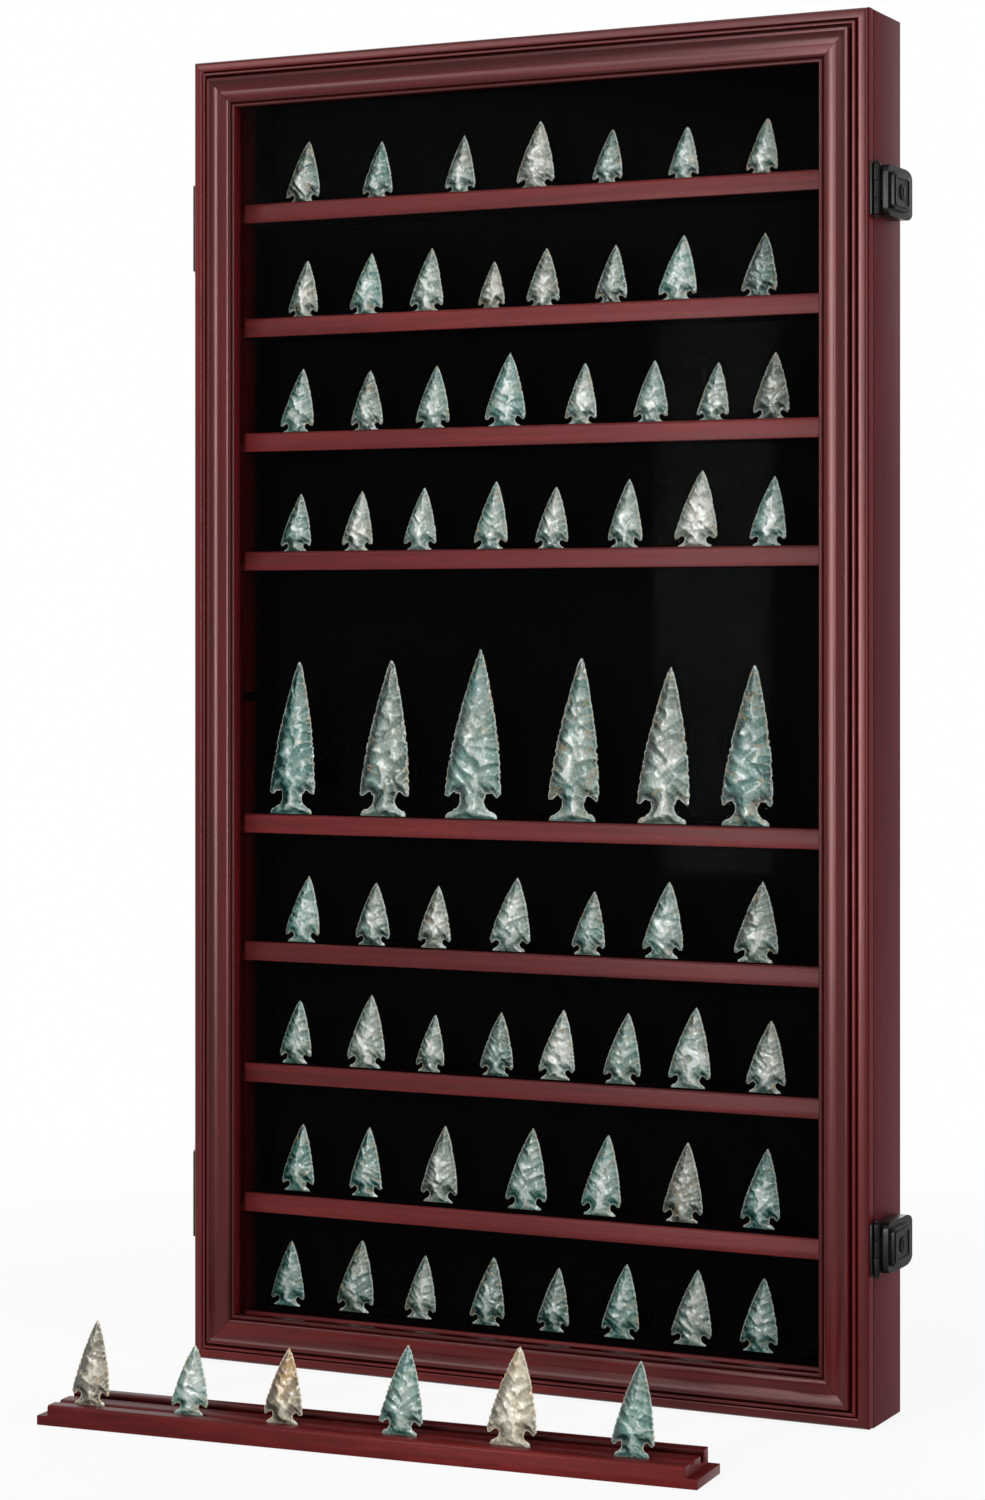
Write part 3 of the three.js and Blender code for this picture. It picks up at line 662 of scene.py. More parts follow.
@dataclass(frozen=True)
class CadCopy:
    """A refined copy of a CAD node: its arrises are eased by a small bevel."""

    bevel: float = 0.35 * MM
    segments: int = 2
    sharp: float = math.radians(35)
    flat: float = math.radians(1)
    weld: float = 0.001 * MM
    profile: float = 0.6

    def build(self, node: str) -> Mesh:
        """Copy a node's mesh and ease its arrises.

        Args:
            node: the CAD node's name.

        Returns:
            The new mesh.
        """
        mesh = bmesh.new()
        mesh.from_mesh(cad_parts[node].data)
        bmesh.ops.remove_doubles(mesh, verts=mesh.verts, dist=self.weld)
        bmesh.ops.dissolve_limit(mesh, angle_limit=self.flat, verts=mesh.verts, edges=mesh.edges)
        self.shape(mesh)
        edges = [edge for edge in mesh.edges
                 if len(edge.link_faces) == 2 and edge.calc_face_angle(0.0) > self.sharp]
        if self.bevel and edges:
            bmesh.ops.bevel(mesh, geom=edges, offset=self.bevel, segments=self.segments,
                            profile=self.profile, affect="EDGES", clamp_overlap=True)
        return mesh

    def shape(self, mesh: Mesh) -> None:
        """Leave the shape as it is."""

    def dress(self, node: str, body: str, finish: Finish) -> None:
        """Put the refined copy of a node in the scene in its place.

        Args:
            node: the CAD node's name.
            body: the body that it rides on.
            finish: its finish.
        """
        Piece(f"{node}_dressed", body, finish, (node,)).place(self.build(node))


@dataclass(frozen=True)
class LooseShelf(CadCopy):
    """The copy of the loose shelf. Its deep groove gets painted shade, up the front of the back ridge."""

    groove_share: float = 0.73
    groove_half: float = 2.4 * MM
    ridge_top: float = 12.9 * MM
    fade: float = 1.5 * MM
    slack: float = 0.3 * MM
    reach: float = 1.5 * MM

    def build(self, node: str) -> Mesh:
        """Copy the shelf's mesh and mark the groove.

        Args:
            node: the CAD node's name.

        Returns:
            The new mesh.
        """
        mesh = super().build(node)
        recess_shade = mesh.verts.layers.float.new("recess_shade")
        inwards = Vector((-math.sin(LOOSE_TURN), math.cos(LOOSE_TURN), 0))
        depths = {vert: vert.co.dot(inwards) for vert in mesh.verts}
        front, back = min(depths.values()), max(depths.values())
        foot = front + self.groove_share * (back - front) + self.groove_half
        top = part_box(node)[0].z + self.ridge_top
        for vert, depth in depths.items():
            # Painted shade up the front of the back ridge, fading out towards its top.
            if foot - self.slack < depth < foot + self.reach:
                vert[recess_shade] = max(0.0, min(1.0, (top - vert.co.z) / self.fade))
        return mesh


@dataclass(frozen=True)
class HaspCover(CadCopy):
    """The copy of a hasp's cover, whose back corners are drawn out into long rounds."""

    corner: Point2 = (4.5 * MM, 4.5 * MM)
    drawn: float = 2.4
    slack: float = 0.05 * MM

    def shape(self, mesh: Mesh) -> None:
        """Draw the back corners out towards the front.

        Args:
            mesh: the cover's mesh.
        """
        back = max(vert.co.y for vert in mesh.verts)
        low, high = min(vert.co.z for vert in mesh.verts), max(vert.co.z for vert in mesh.verts)
        along, up = self.corner
        for vert in mesh.verts:
            near = min(vert.co.z - low, high - vert.co.z)
            if vert.co.y > back - along - self.slack and near < up + self.slack:
                vert.co.y = back - (back - vert.co.y) * self.drawn


@dataclass
class Case:
    """The case: panels, back, felt and the slotted walls that carry the shelves."""

    copy: CadCopy = CadCopy()
    panel_copy: CadCopy = CadCopy(0.7 * MM, 3)
    felt_copy: CadCopy = CadCopy(0.0)
    pin_radius: float = 1.1 * MM
    pin_height: float = 0.6 * MM
    pin_sink: float = 0.2 * MM
    pin_inset: float = 6 * MM
    pins_up: int = 7
    pins_across: int = 4

    def build(self) -> None:
        """Dress the case's pieces."""
        for panel, finish in (("left_side", Finish.SIDE), ("right_side", Finish.SIDE), ("top", Finish.LEVEL),
                              ("bottom", Finish.LEVEL)):
            self.panel_copy.dress(f"{panel}_panel", "case", finish)
        self.copy.dress("back_board", "case", Finish.BACK)
        for side in ("left", "right"):
            self.copy.dress(f"{side}_shelf_rail", "case", Finish.INNER)
        self.felt_copy.dress("felt_backing", "case", Finish.FELT)
        self._back_pins()

    def _back_pins(self) -> None:
        """Add the small domed pins that hold the back board."""
        low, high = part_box("back_board")
        left, right = low.x + self.pin_inset, high.x - self.pin_inset
        bottom, top = low.z + self.pin_inset, high.z - self.pin_inset
        ups = [bottom + (top - bottom) * step / (self.pins_up - 1) for step in range(self.pins_up)]
        alongs = [low.x + (high.x - low.x) * step / self.pins_across for step in range(1, self.pins_across)]
        spots = [(across, up) for up in ups for across in (left, right)]
        spots += [(along, up) for along in alongs for up in (bottom, top)]
        mesh = bmesh.new()
        for across, up in spots:
            foot = Vector((across, high.y - self.pin_sink, up))
            dome(mesh, foot, Vector((0, 1, 0)), self.pin_radius, self.pin_height)
        Piece("back_board_pins", "case", Finish.STEEL).place(mesh)


def head_place(foot: Vector, way: Vector) -> Matrix:
    """Return where the head of a screw or a pin goes.

    Args:
        foot: the middle of the head's underside.
        way: the unit direction that the head stands in.
    """
    return Matrix.Translation(foot) @ way.to_track_quat("Z", "Y").to_matrix().to_4x4()


def dome(mesh: Mesh, foot: Vector, way: Vector, radius: float, height: float, sides: int = 16,
         rings: int = 4) -> None:
    """Add a low domed head.

    Args:
        mesh: the mesh to add to.
        foot: the middle of the head's underside.
        way: the unit direction that the head stands in.
        radius: the head's radius.
        height: the dome's height.
        sides: sides of the round.
        rings: steps from the rim to the crown.
    """
    place = head_place(foot, way)
    angles = [math.tau * side / sides for side in range(sides)]
    rises = [math.pi / 2 * ring / rings for ring in range(rings)]
    levels = [(radius * math.cos(rise), height * math.sin(rise)) for rise in rises]
    bridge(mesh, [loop(mesh, (place @ Vector((across * math.cos(angle), across * math.sin(angle), up))
                              for angle in angles)) for across, up in [(radius, -0.2 * height), *levels]])


@dataclass
class Moulding:
    """The door's frame: one moulding section, mitred at the corners, and its glazing."""

    width: float = 28 * MM
    back_ease: float = 0.6 * MM
    bead_outer: Point2 = (2.0 * MM, 3.0 * MM)
    bead: tuple[Point2, Point2, Point2] = ((2.0 * MM, 8.94 * MM), (3.5 * MM, 9.1 * MM), (5.0 * MM, 9.17 * MM))
    bead_inner: Point2 = (1.6 * MM, 2.4 * MM)
    step: tuple[float, float] = (6.9 * MM, 8.6 * MM)
    step_ease: Point2 = (0.4 * MM, 0.5 * MM)
    step_top: float = 10.15 * MM
    step_rise: float = 0.05 * MM
    step_gap: float = 0.1 * MM
    quirk_floor: float = 8.0 * MM
    fillet: tuple[float, float] = (10.6 * MM, 12.3 * MM)
    fillet_top: float = 11.9 * MM
    fillet_ease: float = 0.25 * MM
    cove_start: float = 11.6 * MM
    cove_end: float = 18.4 * MM
    cove_floor: float = 9.9 * MM
    swell_end: float = 22.0 * MM
    swell_slope: float = 0.13
    swell_sag: float = 0.62
    fall: Point2 = (3.1 * MM, 1.4 * MM)
    small_quirk: float = 0.8 * MM
    small_quirk_drop: float = 0.5 * MM
    sight_foot: float = 8.7 * MM
    sight_rise: float = 0.8 * MM
    rebate: float = 6 * MM
    rebate_depth: float = 4.6 * MM
    steps: int = 10
    smooth_angle: float = math.radians(40)
    glass_copy: CadCopy = CadCopy(0.25 * MM)
    stop_copy: CadCopy = CadCopy(0.4 * MM)

    def section(self) -> list[Point3]:
        """Return the section's outline: the distance in from the outer edge, the height off the back and how
        much painted shade each place gets."""
        # Painted shade levels: 0 undarkened and glossy, 0.15 a little darkened, 0.5 fully darkened, 1
        # darkened and dulled.
        bright, eased, dark, dull = 0.0, 0.15, 0.5, 1.0
        steps, ease = self.steps, self.fillet_ease
        start, end = self.fillet
        foot, edge = self.step
        soft, drop = self.step_ease
        outer_y, inner_y = self.bead[0][1] - self.bead_outer[1], self.bead[-1][1] - self.bead_inner[1]
        shares = [place / (2 * steps) for place in range(1, 2 * steps + 1)]
        swell_wide = self.swell_end - self.cove_end
        lost = self.swell_slope * swell_wide * self.swell_sag
        swell_top = self.cove_floor + self.swell_slope * swell_wide - lost
        fall_foot = swell_top - self.fall[1]
        quirk = fall_foot - self.small_quirk_drop
        small = self.swell_end + self.fall[0]
        sight = small + self.small_quirk
        half = (self.width - sight) / 2
        return [
            (0.0, self.back_ease, dull),
            *with_painted_shade(arc(self.bead_outer[0], outer_y, *self.bead_outer, 2, 1, steps), dull, bright),
            *with_painted_shade(self.bead[1:], bright, bright),
            *with_painted_shade(arc(self.bead[-1][0], inner_y, *self.bead_inner, 1, 0, steps)[1:], bright, dull),
            (foot - self.step_gap, inner_y, dull), (foot, inner_y, dull),
            *with_painted_shade(arc(foot + soft, self.step_top - self.step_rise - drop, soft, drop, 2, 1, 4),
                      dark, bright),
            *with_painted_shade(arc(edge - soft, self.step_top - drop, soft, drop, 1, 0, 4), bright, dark),
            (edge, self.quirk_floor, dull), (start, self.quirk_floor, dull),
            (start, self.fillet_top - ease, 0.6), (start + ease, self.fillet_top, eased),
            (end - ease, self.fillet_top, eased), (end, self.fillet_top - ease, dark),
            (end, self.cove_start, dark),
            *((end + (self.cove_end - end) * share,
               self.cove_floor + (self.cove_start - self.cove_floor) * (1 - share) ** 2,
               dark + (eased - dark) * share) for share in shares),
            *((self.cove_end + swell_wide * share,
               self.cove_floor + self.swell_slope * swell_wide * share - lost * share ** 2, eased)
              for share in shares),
            *with_painted_shade(arc(self.swell_end, fall_foot, *self.fall, 1, 0, steps)[1:], eased, 0.6),
            (small, quirk, dull), (sight, quirk, dull),
            *with_painted_shade(arc(sight + half, self.sight_foot, half, self.sight_rise, 2, 0, steps), 0.1, 0.9),
            (self.width, self.rebate_depth, dark), (self.width - self.rebate, self.rebate_depth, dull),
            (self.width - self.rebate, 0.0, dull), (self.back_ease, 0.0, dull)]

    def _length(self, node: str, across: Vector, inward: Vector) -> Mesh:
        """Sweep the section along one side of the frame.

        Args:
            node: the CAD node that the side stands for, which gives its ends.
            across: the unit direction along the side.
            inward: the unit direction from the outer edge to the glass.

        Returns:
            The mitred side's mesh.
        """
        low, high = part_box(node)
        middle = (low + high) / 2
        reach = abs((high - low).dot(across)) / 2
        outer = middle - inward * (abs((high - low).dot(inward)) / 2)
        outer.y = high.y
        mesh = bmesh.new()
        layer = mesh.verts.layers.float.new("recess_shade")
        outline = self.section()
        rings = [loop(mesh, (outer + across * (end * (reach - inset)) + inward * inset - Vector((0, lift, 0))
                             for inset, lift, _ in outline)) for end in (-1, 1)]
        # Each ring carries the section's painted-shade numbers.
        for ring in rings:
            for vert, (_, _, recess_shade) in zip(ring, outline):
                vert[layer] = recess_shade
        bridge(mesh, rings)
        return mesh

    def build(self) -> None:
        """Build the four sides, the pane and the beads behind it."""
        right, up = Vector((1, 0, 0)), Vector((0, 0, 1))
        sides = {
            "door_rail_bottom": (right, up, Finish.RAIL), "door_rail_top": (right, -up, Finish.RAIL),
            "door_stile_left": (up, right, Finish.STILE), "door_stile_right": (up, -right, Finish.STILE)}
        for node, (across, inward, finish) in sides.items():
            piece = Piece(f"{node}_moulded", "door", finish, (node,), self.smooth_angle)
            piece.place(self._length(node, across, inward))
        self.glass_copy.dress("door_glass", "door", Finish.GLASS)
        for side, finish in (("bottom", Finish.LEVEL), ("top", Finish.LEVEL), ("left", Finish.UPRIGHT),
                             ("right", Finish.UPRIGHT)):
            self.stop_copy.dress(f"glass_stop_{side}", "door", finish)


def with_painted_shade(points: Sequence[Point2], first: float, last: float) -> list[Point3]:
    """Return points with the painted shade that each gets, which goes evenly from the first value to the
    last.
    """
    return [(across, up, first + (last - first) * place / max(1, len(points) - 1))
            for place, (across, up) in enumerate(points)]


@dataclass
class Hinges:
    """Two butt hinges on the left edge, with their screws."""

    copy: CadCopy = CadCopy(0.2 * MM)
    screw_radius: float = 2.3 * MM
    screw_rise: float = 0.35 * MM
    screw_setback: float = 6.5 * MM
    slot_half: float = 0.5 * MM
    slot_turn: float = 0.4
    height: float = 50 * MM
    screw_shares: tuple[float, ...] = (-0.34, 0.0, 0.34)

    def build(self) -> None:
        """Dress both hinges."""
        for place in ("lower", "upper"):
            self.copy.dress(f"hinge_case_leaf_{place}", "case", Finish.BRONZE)
            self.copy.dress(f"hinge_door_leaf_{place}", "door", Finish.BRONZE)
            self.copy.dress(f"hinge_pin_{place}", "case", Finish.STEEL)
            low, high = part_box(f"hinge_case_leaf_{place}")
            middle = (low.z + high.z) / 2
            mesh = bmesh.new()
            for share in self.screw_shares:
                foot = Vector((low.x, high.y - self.screw_setback, middle + share * self.height))
                screw(mesh, foot, Vector((-1, 0, 0)), self.screw_radius, self.screw_rise, self.slot_half,
                      self.slot_turn + share)
            Piece(f"hinge_screws_{place}", "case", Finish.BRONZE).place(mesh)


def screw(mesh: Mesh, foot: Vector, way: Vector, radius: float, rise: float, slot: float,
          turn: float, sides: int = 20) -> None:
    """Add an oval screw head with a straight slot.

    Args:
        mesh: the mesh to add to.
        foot: the middle of the head, on the plate's face.
        way: the unit direction that the head faces.
        radius: the head's radius.
        rise: the head's height.
        slot: half the slot's width.
        turn: how far the slot is turned, in radians.
        sides: sides of each half round.
    """
    place = head_place(foot, way) @ Matrix.Rotation(turn, 4, "Z")
    start = math.asin(slot / radius)
    angles = [start + (math.pi - 2 * start) * step / sides for step in range(sides + 1)]
    levels = ((1.0, -rise), (1.0, rise * 0.25), (0.86, rise * 0.8), (0.6, rise))
    for side in (-1, 1):
        outline = [(radius * math.cos(angle), side * radius * math.sin(angle)) for angle in angles]
        middle = side * slot
        bridge(mesh, [loop(mesh, (place @ Vector((x * share, middle + (y - middle) * share, up))
                                  for x, y in outline)) for share, up in levels])


@dataclass
class KeyHasps:
    """Two key hasps on the right edge, with their plugs, leaves and strikes."""

    cover_copy: CadCopy = HaspCover(0.8 * MM, 4)
    plug_copy: CadCopy = CadCopy(0.15 * MM)
    copy: CadCopy = CadCopy(0.25 * MM)
    ring_size: Point2 = (23.5 * MM, 17 * MM)
    plug_setback: float = 21.1 * MM
    ring_width: float = 1.7 * MM
    ring_rise: float = 0.45 * MM
    ring_radius: float = 2.2 * MM
    ring_sink: float = 0.1 * MM
    ring_ease: Point2 = (0.3 * MM, 0.1 * MM)

    def build(self) -> None:
        """Dress both hasps."""
        for place in ("lower", "upper"):
            self.cover_copy.dress(f"hasp_cover_{place}", f"hasp_{place}", Finish.BLACK_METAL)
            self.plug_copy.dress(f"lock_plug_{place}", f"plug_{place}", Finish.KEYWAY)
            for part, body in (("leaf", "door"), ("pin", "door"), ("strike", "case")):
                self.copy.dress(f"lock_{part}_{place}", body, Finish.BLACK_METAL)
            self._ring(place)

    def _ring(self, place: str) -> None:
        """Add the raised frame round the keyhole on the cover's block.

        Args:
            place: lower or upper.
        """
        low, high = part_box(f"hasp_cover_{place}")
        plug_low, plug_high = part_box(f"lock_plug_{place}")
        middle_y, middle_z = low.y + self.plug_setback, (plug_low.z + plug_high.z) / 2
        face = high.x - self.ring_sink
        long, tall = self.ring_size
        wide, rise = self.ring_width, self.ring_rise
        ease, crown = self.ring_ease
        mesh = bmesh.new()
        rings = []
        for inset, lift in ((0.0, 0.0), (0.0, rise), (ease, rise + crown), (wide - ease, rise + crown),
                            (wide, rise), (wide, 0.0)):
            outline = rounded(long / 2 - inset, tall / 2 - inset, self.ring_radius - inset * 0.8)
            rings.append(loop(mesh, (
                (face + lift, middle_y + along, middle_z + up) for along, up in outline)))
        bridge(mesh, [*rings, rings[0]], capped=False)
        Piece(f"hasp_ring_{place}", f"hasp_{place}", Finish.BLACK_METAL).place(mesh)


def rounded(half_wide: float, half_high: float, radius: float, steps: int = 6) -> list[Point2]:
    """Return a rectangle with rounded corners about its middle."""
    corners = ((1, 1, 0), (-1, 1, 1), (-1, -1, 2), (1, -1, 3))
    return [point for across, up, quarter in corners
            for point in arc(across * (half_wide - radius), up * (half_high - radius), radius, radius,
                             quarter, quarter + 1, steps)]


def span_gaps(points: Array, starts: Array, ends: Array) -> Array:
    """Measure how far points are from straight lines.

    Args:
        points: the points, one to a row.
        starts: where each line starts.
        ends: where each line ends.

    Returns:
        One row for each point, one column for each line.
    """
    along = ends - starts
    offset = points[:, None, :] - starts[None]
    share = (offset * along).sum(2) / np.maximum((along ** 2).sum(1), 1e-12)
    return np.linalg.norm(offset - np.clip(share, 0, 1)[..., None] * along, axis=2)


@dataclass
class Flakes:
    """The hollows that flakes left on one face of a stone: one row of measures for each."""

    START: ClassVar[slice] = slice(0, 2)
    END: ClassVar[slice] = slice(2, 4)
    HALF: ClassVar[int] = 4
    DEPTH: ClassVar[int] = 5
    SHADE: ClassVar[int] = 6
    WARM: ClassVar[int] = 7

    rows: list[tuple[float, ...]] = field(default_factory=list)

    def strike(self, start: Sequence[float], end: Sequence[float], half: float, depth: float, shade: float,
               warm: float = 0.0) -> None:
        """Take off one flake.

        Args:
            start: where the hollow starts.
            end: where it ends.
            half: half its width.
            depth: how deep it is.
            shade: how light it is, from 0 to 1.
            warm: how amber it is, from 0 to 1.
        """
        self.rows.append((start[0], start[1], end[0], end[1], half, depth, shade, warm))

    def measure(self, place: int | slice) -> Array:
        """Return one measure of all the hollows."""
        return np.array(self.rows)[:, place]

    def surfaces(self, points: Array, body: Array, fade: Array) -> Array:
        """Return the height that each hollow, and last the stone itself, gives at each point."""
        reach = span_gaps(points, self.measure(self.START), self.measure(self.END)) / self.measure(self.HALF)
        cuts = body[:, None] - self.measure(self.DEPTH) * (1 - reach ** 2) * fade[:, None]
        return np.concatenate([cuts, body[:, None]], axis=1)


# Outlines of one side of a point, from the tip to the base, as shares of its width and height.
SPEAR_SHARES: tuple[Point2, ...] = (
    (0, 1), (0.07, 0.94), (0.17, 0.82), (0.3, 0.64), (0.41, 0.46), (0.47, 0.3), (0.5, 0.175), (0.497, 0.14),
    (0.46, 0.125), (0.4, 0.138), (0.335, 0.158), (0.265, 0.152), (0.222, 0.125), (0.212, 0.1), (0.245, 0.074),
    (0.33, 0.05), (0.43, 0.037), (0.462, 0.018), (0.44, 0))
SMALL_SHARES: tuple[Point2, ...] = (
    (0, 1), (0.085, 0.92), (0.19, 0.79), (0.3, 0.63), (0.39, 0.47), (0.455, 0.33), (0.5, 0.2), (0.5, 0.145),
    (0.46, 0.118), (0.41, 0.128), (0.365, 0.158), (0.31, 0.165), (0.262, 0.14), (0.25, 0.11), (0.27, 0.08),
    (0.33, 0.058), (0.395, 0.042), (0.405, 0.018), (0.375, 0))


@dataclass(frozen=True)
class Blank:
    """A stone before it is flaked: its size, how light it is (about 0.45), how far its hue is from teal to
    olive, how much more olive or amber its tip is than its base, and how much more it leans than others."""

    width: float
    height: float
    tone: float
    earth: float
    rise: float = 0.0
    sway: float = 0.0


@dataclass(frozen=True)
class Knapper:
    """Makes flaked stone points: a thin lens cut by the hollows of flakes, with scalloped edges, coloured
    with painted light, shade and highlights. Its lean is how far a tip stands to the right, as a share of the
    height."""

    shares: tuple[Point2, ...] = SMALL_SHARES
    lean: float = 0.11
    spacing: float = 0.66 * MM
    thickness: float = 6.0 * MM
    edge_half: float = 0.35 * MM
    swell: float = 6.0 * MM
    fade: float = 1.3 * MM
    pitch: float = 3.2 * MM
    depth: float = 0.95 * MM
    scallop: float = 0.7 * MM
    # Widths of the painted highlights on the rim and on arrises.
    rim_highlight: float = 0.6 * MM
    arris: float = 0.13 * MM
    ripple: float = 2.4 * MM
    bite_aim: float = 0.4
    bite_foot: float = 0.02
    lean_pivot: float = 0.3
    rise_pivot: float = 0.45
    grid_rows: float = 0.87
    grid_shake: float = 0.14
    base_share: float = 0.72
    # The painted light: its direction across and up, and how strong its light and shade are; base_light makes
    # the base lighter against the painted shade there.
    light: tuple[float, float] = (0.62, 0.5)
    contrast: float = 0.8
    base_light: float = 0.45

    def _outline(self, blank: Blank, chance: random.Random) -> Array:
        """Return the chipped outline, from the tip round clockwise.

        Args:
            blank: the point.
            chance: the point's own random numbers.
        """
        height, lean = blank.height, self.lean + blank.sway
        side = [Vector((across * blank.width, up * height)) for across, up in self.shares]
        ring = side + [Vector((-corner.x, corner.y)) for corner in reversed(side[1:])]
        edge = []
        for start, end in zip(ring, ring[1:] + ring[:1]):
            steps = max(1, round((end - start).length / self.spacing))
            edge += [start.lerp(end, step / steps) for step in range(steps)]
        count = len(edge)
        for _ in range(2):
            edge = [edge[k] if k == 0 else edge[k - 1] * 0.2 + edge[k] * 0.6 + edge[(k + 1) % count] * 0.2
                    for k in range(count)]
        middle = Vector((0, height * self.bite_aim))
        travelled, wide, deep = 0.0, self.pitch, self.scallop
        moved = []
        for place in range(count):
            travelled += (edge[place] - edge[place - 1]).length if place else 0.0
            if travelled > wide:
                travelled -= wide
                wide = self.pitch * chance.uniform(0.5, 1.1)
                deep = self.scallop * chance.uniform(0.3, 1.2)
            bite = 0.0
            if edge[place].y > self.bite_foot * height:
                bite = deep * math.sin(math.pi * min(1.0, travelled / wide))
            spot = edge[place] + (middle - edge[place]).normalized() * bite
            moved.append((spot.x + lean * (spot.y - self.lean_pivot * height), spot.y))
        return np.array(moved)

    def _flakes(self, edge: Array, blank: Blank, warm: float, chance: random.Random) -> Flakes:
        """Work one face.

        Args:
            edge: the outline.
            blank: the point.
            warm: the share of hollows with amber flecks.
            chance: the point's own random numbers.
        """
        width, height = blank.width, blank.height
        flakes = Flakes()
        wait = 0.0
        for place, (across, up) in enumerate(edge):
            wait -= math.hypot(*(edge[place] - edge[place - 1]))
            if wait > 0:
                continue
            wait = self.pitch * chance.uniform(0.45, 1.25)
            inward = -math.copysign(1.0, across)
            if up < 0.2 * height:
                way = Vector((inward * 0.7, chance.uniform(0.0, 1.2)))
            else:
                way = Vector((inward, chance.choice((-1.0, -0.7, -0.35, 0.3)) * chance.uniform(0.7, 1.5)))
            length = abs(across) * chance.uniform(0.35, 1.1) * way.length
            end = Vector((across, up)) + way.normalized() * length
            flakes.strike((across, up), end, self.pitch * chance.uniform(0.5, 0.95),
                          self.depth * chance.uniform(0.5, 1.1), chance.uniform(0.05, 0.62),
                          float(chance.random() < warm))
        up = chance.uniform(0.1, 0.18)
        turn = chance.choice((-1, 1))
        while up < 0.84:
            wide = width * (1.05 - up)
            size = chance.uniform(0.1, 0.2)
            start = Vector((turn * chance.uniform(0.02, 0.16) * wide, up * height))
            end = start + Vector((-turn * chance.uniform(0.08, 0.3) * wide, size * height * 0.75))
            flakes.strike(start, end, wide * chance.uniform(0.1, 0.2), self.depth * chance.uniform(0.3, 0.7),
                          chance.uniform(0.62, 1.0), 0.4 * float(chance.random() < warm))
            up += size * 0.8
            turn = -turn
        for way in (-1, 1):
            notch = Vector((way * 0.34 * width, 0.17 * height))
            flakes.strike(notch, notch + Vector((-way * 0.06 * width, 0.05 * height)), 0.15 * width,
                          self.depth * chance.uniform(0.6, 1.0), chance.uniform(0.25, 0.5))
        flakes.strike((0, 0.02 * height), (0, 0.12 * height), 0.22 * width, self.depth * 0.3,
                      chance.uniform(0.7, 1.0))
        return flakes

    def _inside(self, edge: Array, chance: random.Random) -> Array:
        """Return a loose grid of points within the outline."""
        low, high = edge.min(0), edge.max(0)
        across, up = np.meshgrid(np.arange(low[0], high[0], self.spacing),
                                 np.arange(low[1], high[1], self.spacing * self.grid_rows))
        across[::2] += self.spacing / 2
        grid = np.stack([across.ravel(), up.ravel()], axis=1)
        shake = np.random.default_rng(chance.randrange(1 << 30))
        grid += shake.uniform(-self.grid_shake, self.grid_shake, grid.shape) * self.spacing
        ends = np.roll(edge, -1, axis=0)
        level = grid[:, 1:2]
        crossed = (edge[:, 1] > level) != (ends[:, 1] > level)
        rise = ends[:, 1] - edge[:, 1]
        rise = np.where(np.abs(rise) < 1e-12, 1e-12, rise)
        meets = edge[:, 0] + (ends[:, 0] - edge[:, 0]) * (level - edge[:, 1]) / rise
        within = (crossed & (grid[:, 0:1] < meets)).sum(1) % 2 == 1
        grid = grid[within]
        return grid[span_gaps(grid, edge, ends).min(1) > self.spacing * 0.5]

    def add(self, mesh: Mesh, blank: Blank, place: Matrix, chance: random.Random) -> None:
        """Add one point to a mesh.

        Args:
            mesh: the mesh, with a colour layer named "knap" and a number layer named "earth".
            blank: the point.
            place: where its base's middle goes: X across, Y from front to back, Z up.
            chance: the point's own random numbers.
        """
        knap, hue = mesh.verts.layers.float_color["knap"], mesh.verts.layers.float["earth"]
        edge = self._outline(blank, chance)
        count = len(edge)
        flat = [Vector(point) for point in edge] + [Vector(point) for point in self._inside(edge, chance)]
        rim_edges = [(k, (k + 1) % count) for k in range(count)]
        spots, _, faces, *_ = delaunay_2d_cdt(flat, rim_edges, [list(range(count))], 1, 1e-7)
        points = np.array([tuple(spot) for spot in spots])
        gaps = span_gaps(points, edge, np.roll(edge, -1, axis=0)).min(1)
        gaps[:count] = 0.0
        triangles = np.array([face for face in faces if len(face) == 3 and max(face) >= count])
        warm = max(0.0, chance.uniform(-0.25, 0.3))
        front: list[bmesh.types.BMVert] = []
        for facing in (-1, 1):
            thick, colours = self._surface(points, gaps, triangles, edge, blank, warm, chance)
            verts = []
            for number, (across, up) in enumerate(points):
                if number < count and front:
                    verts.append(front[number])
                    continue
                vert = mesh.verts.new(place @ Vector((across, facing * thick[number], up)))
                vert[knap] = colours[number]
                vert[hue] = blank.earth + blank.rise * (up / blank.height - self.rise_pivot)
                verts.append(vert)
            front = front or verts
            for corners in triangles:
                mesh.faces.new([verts[k] for k in (corners if facing < 0 else corners[::-1])])
        for vert in front[:count]:
            if not vert.link_faces:
                mesh.verts.remove(vert)

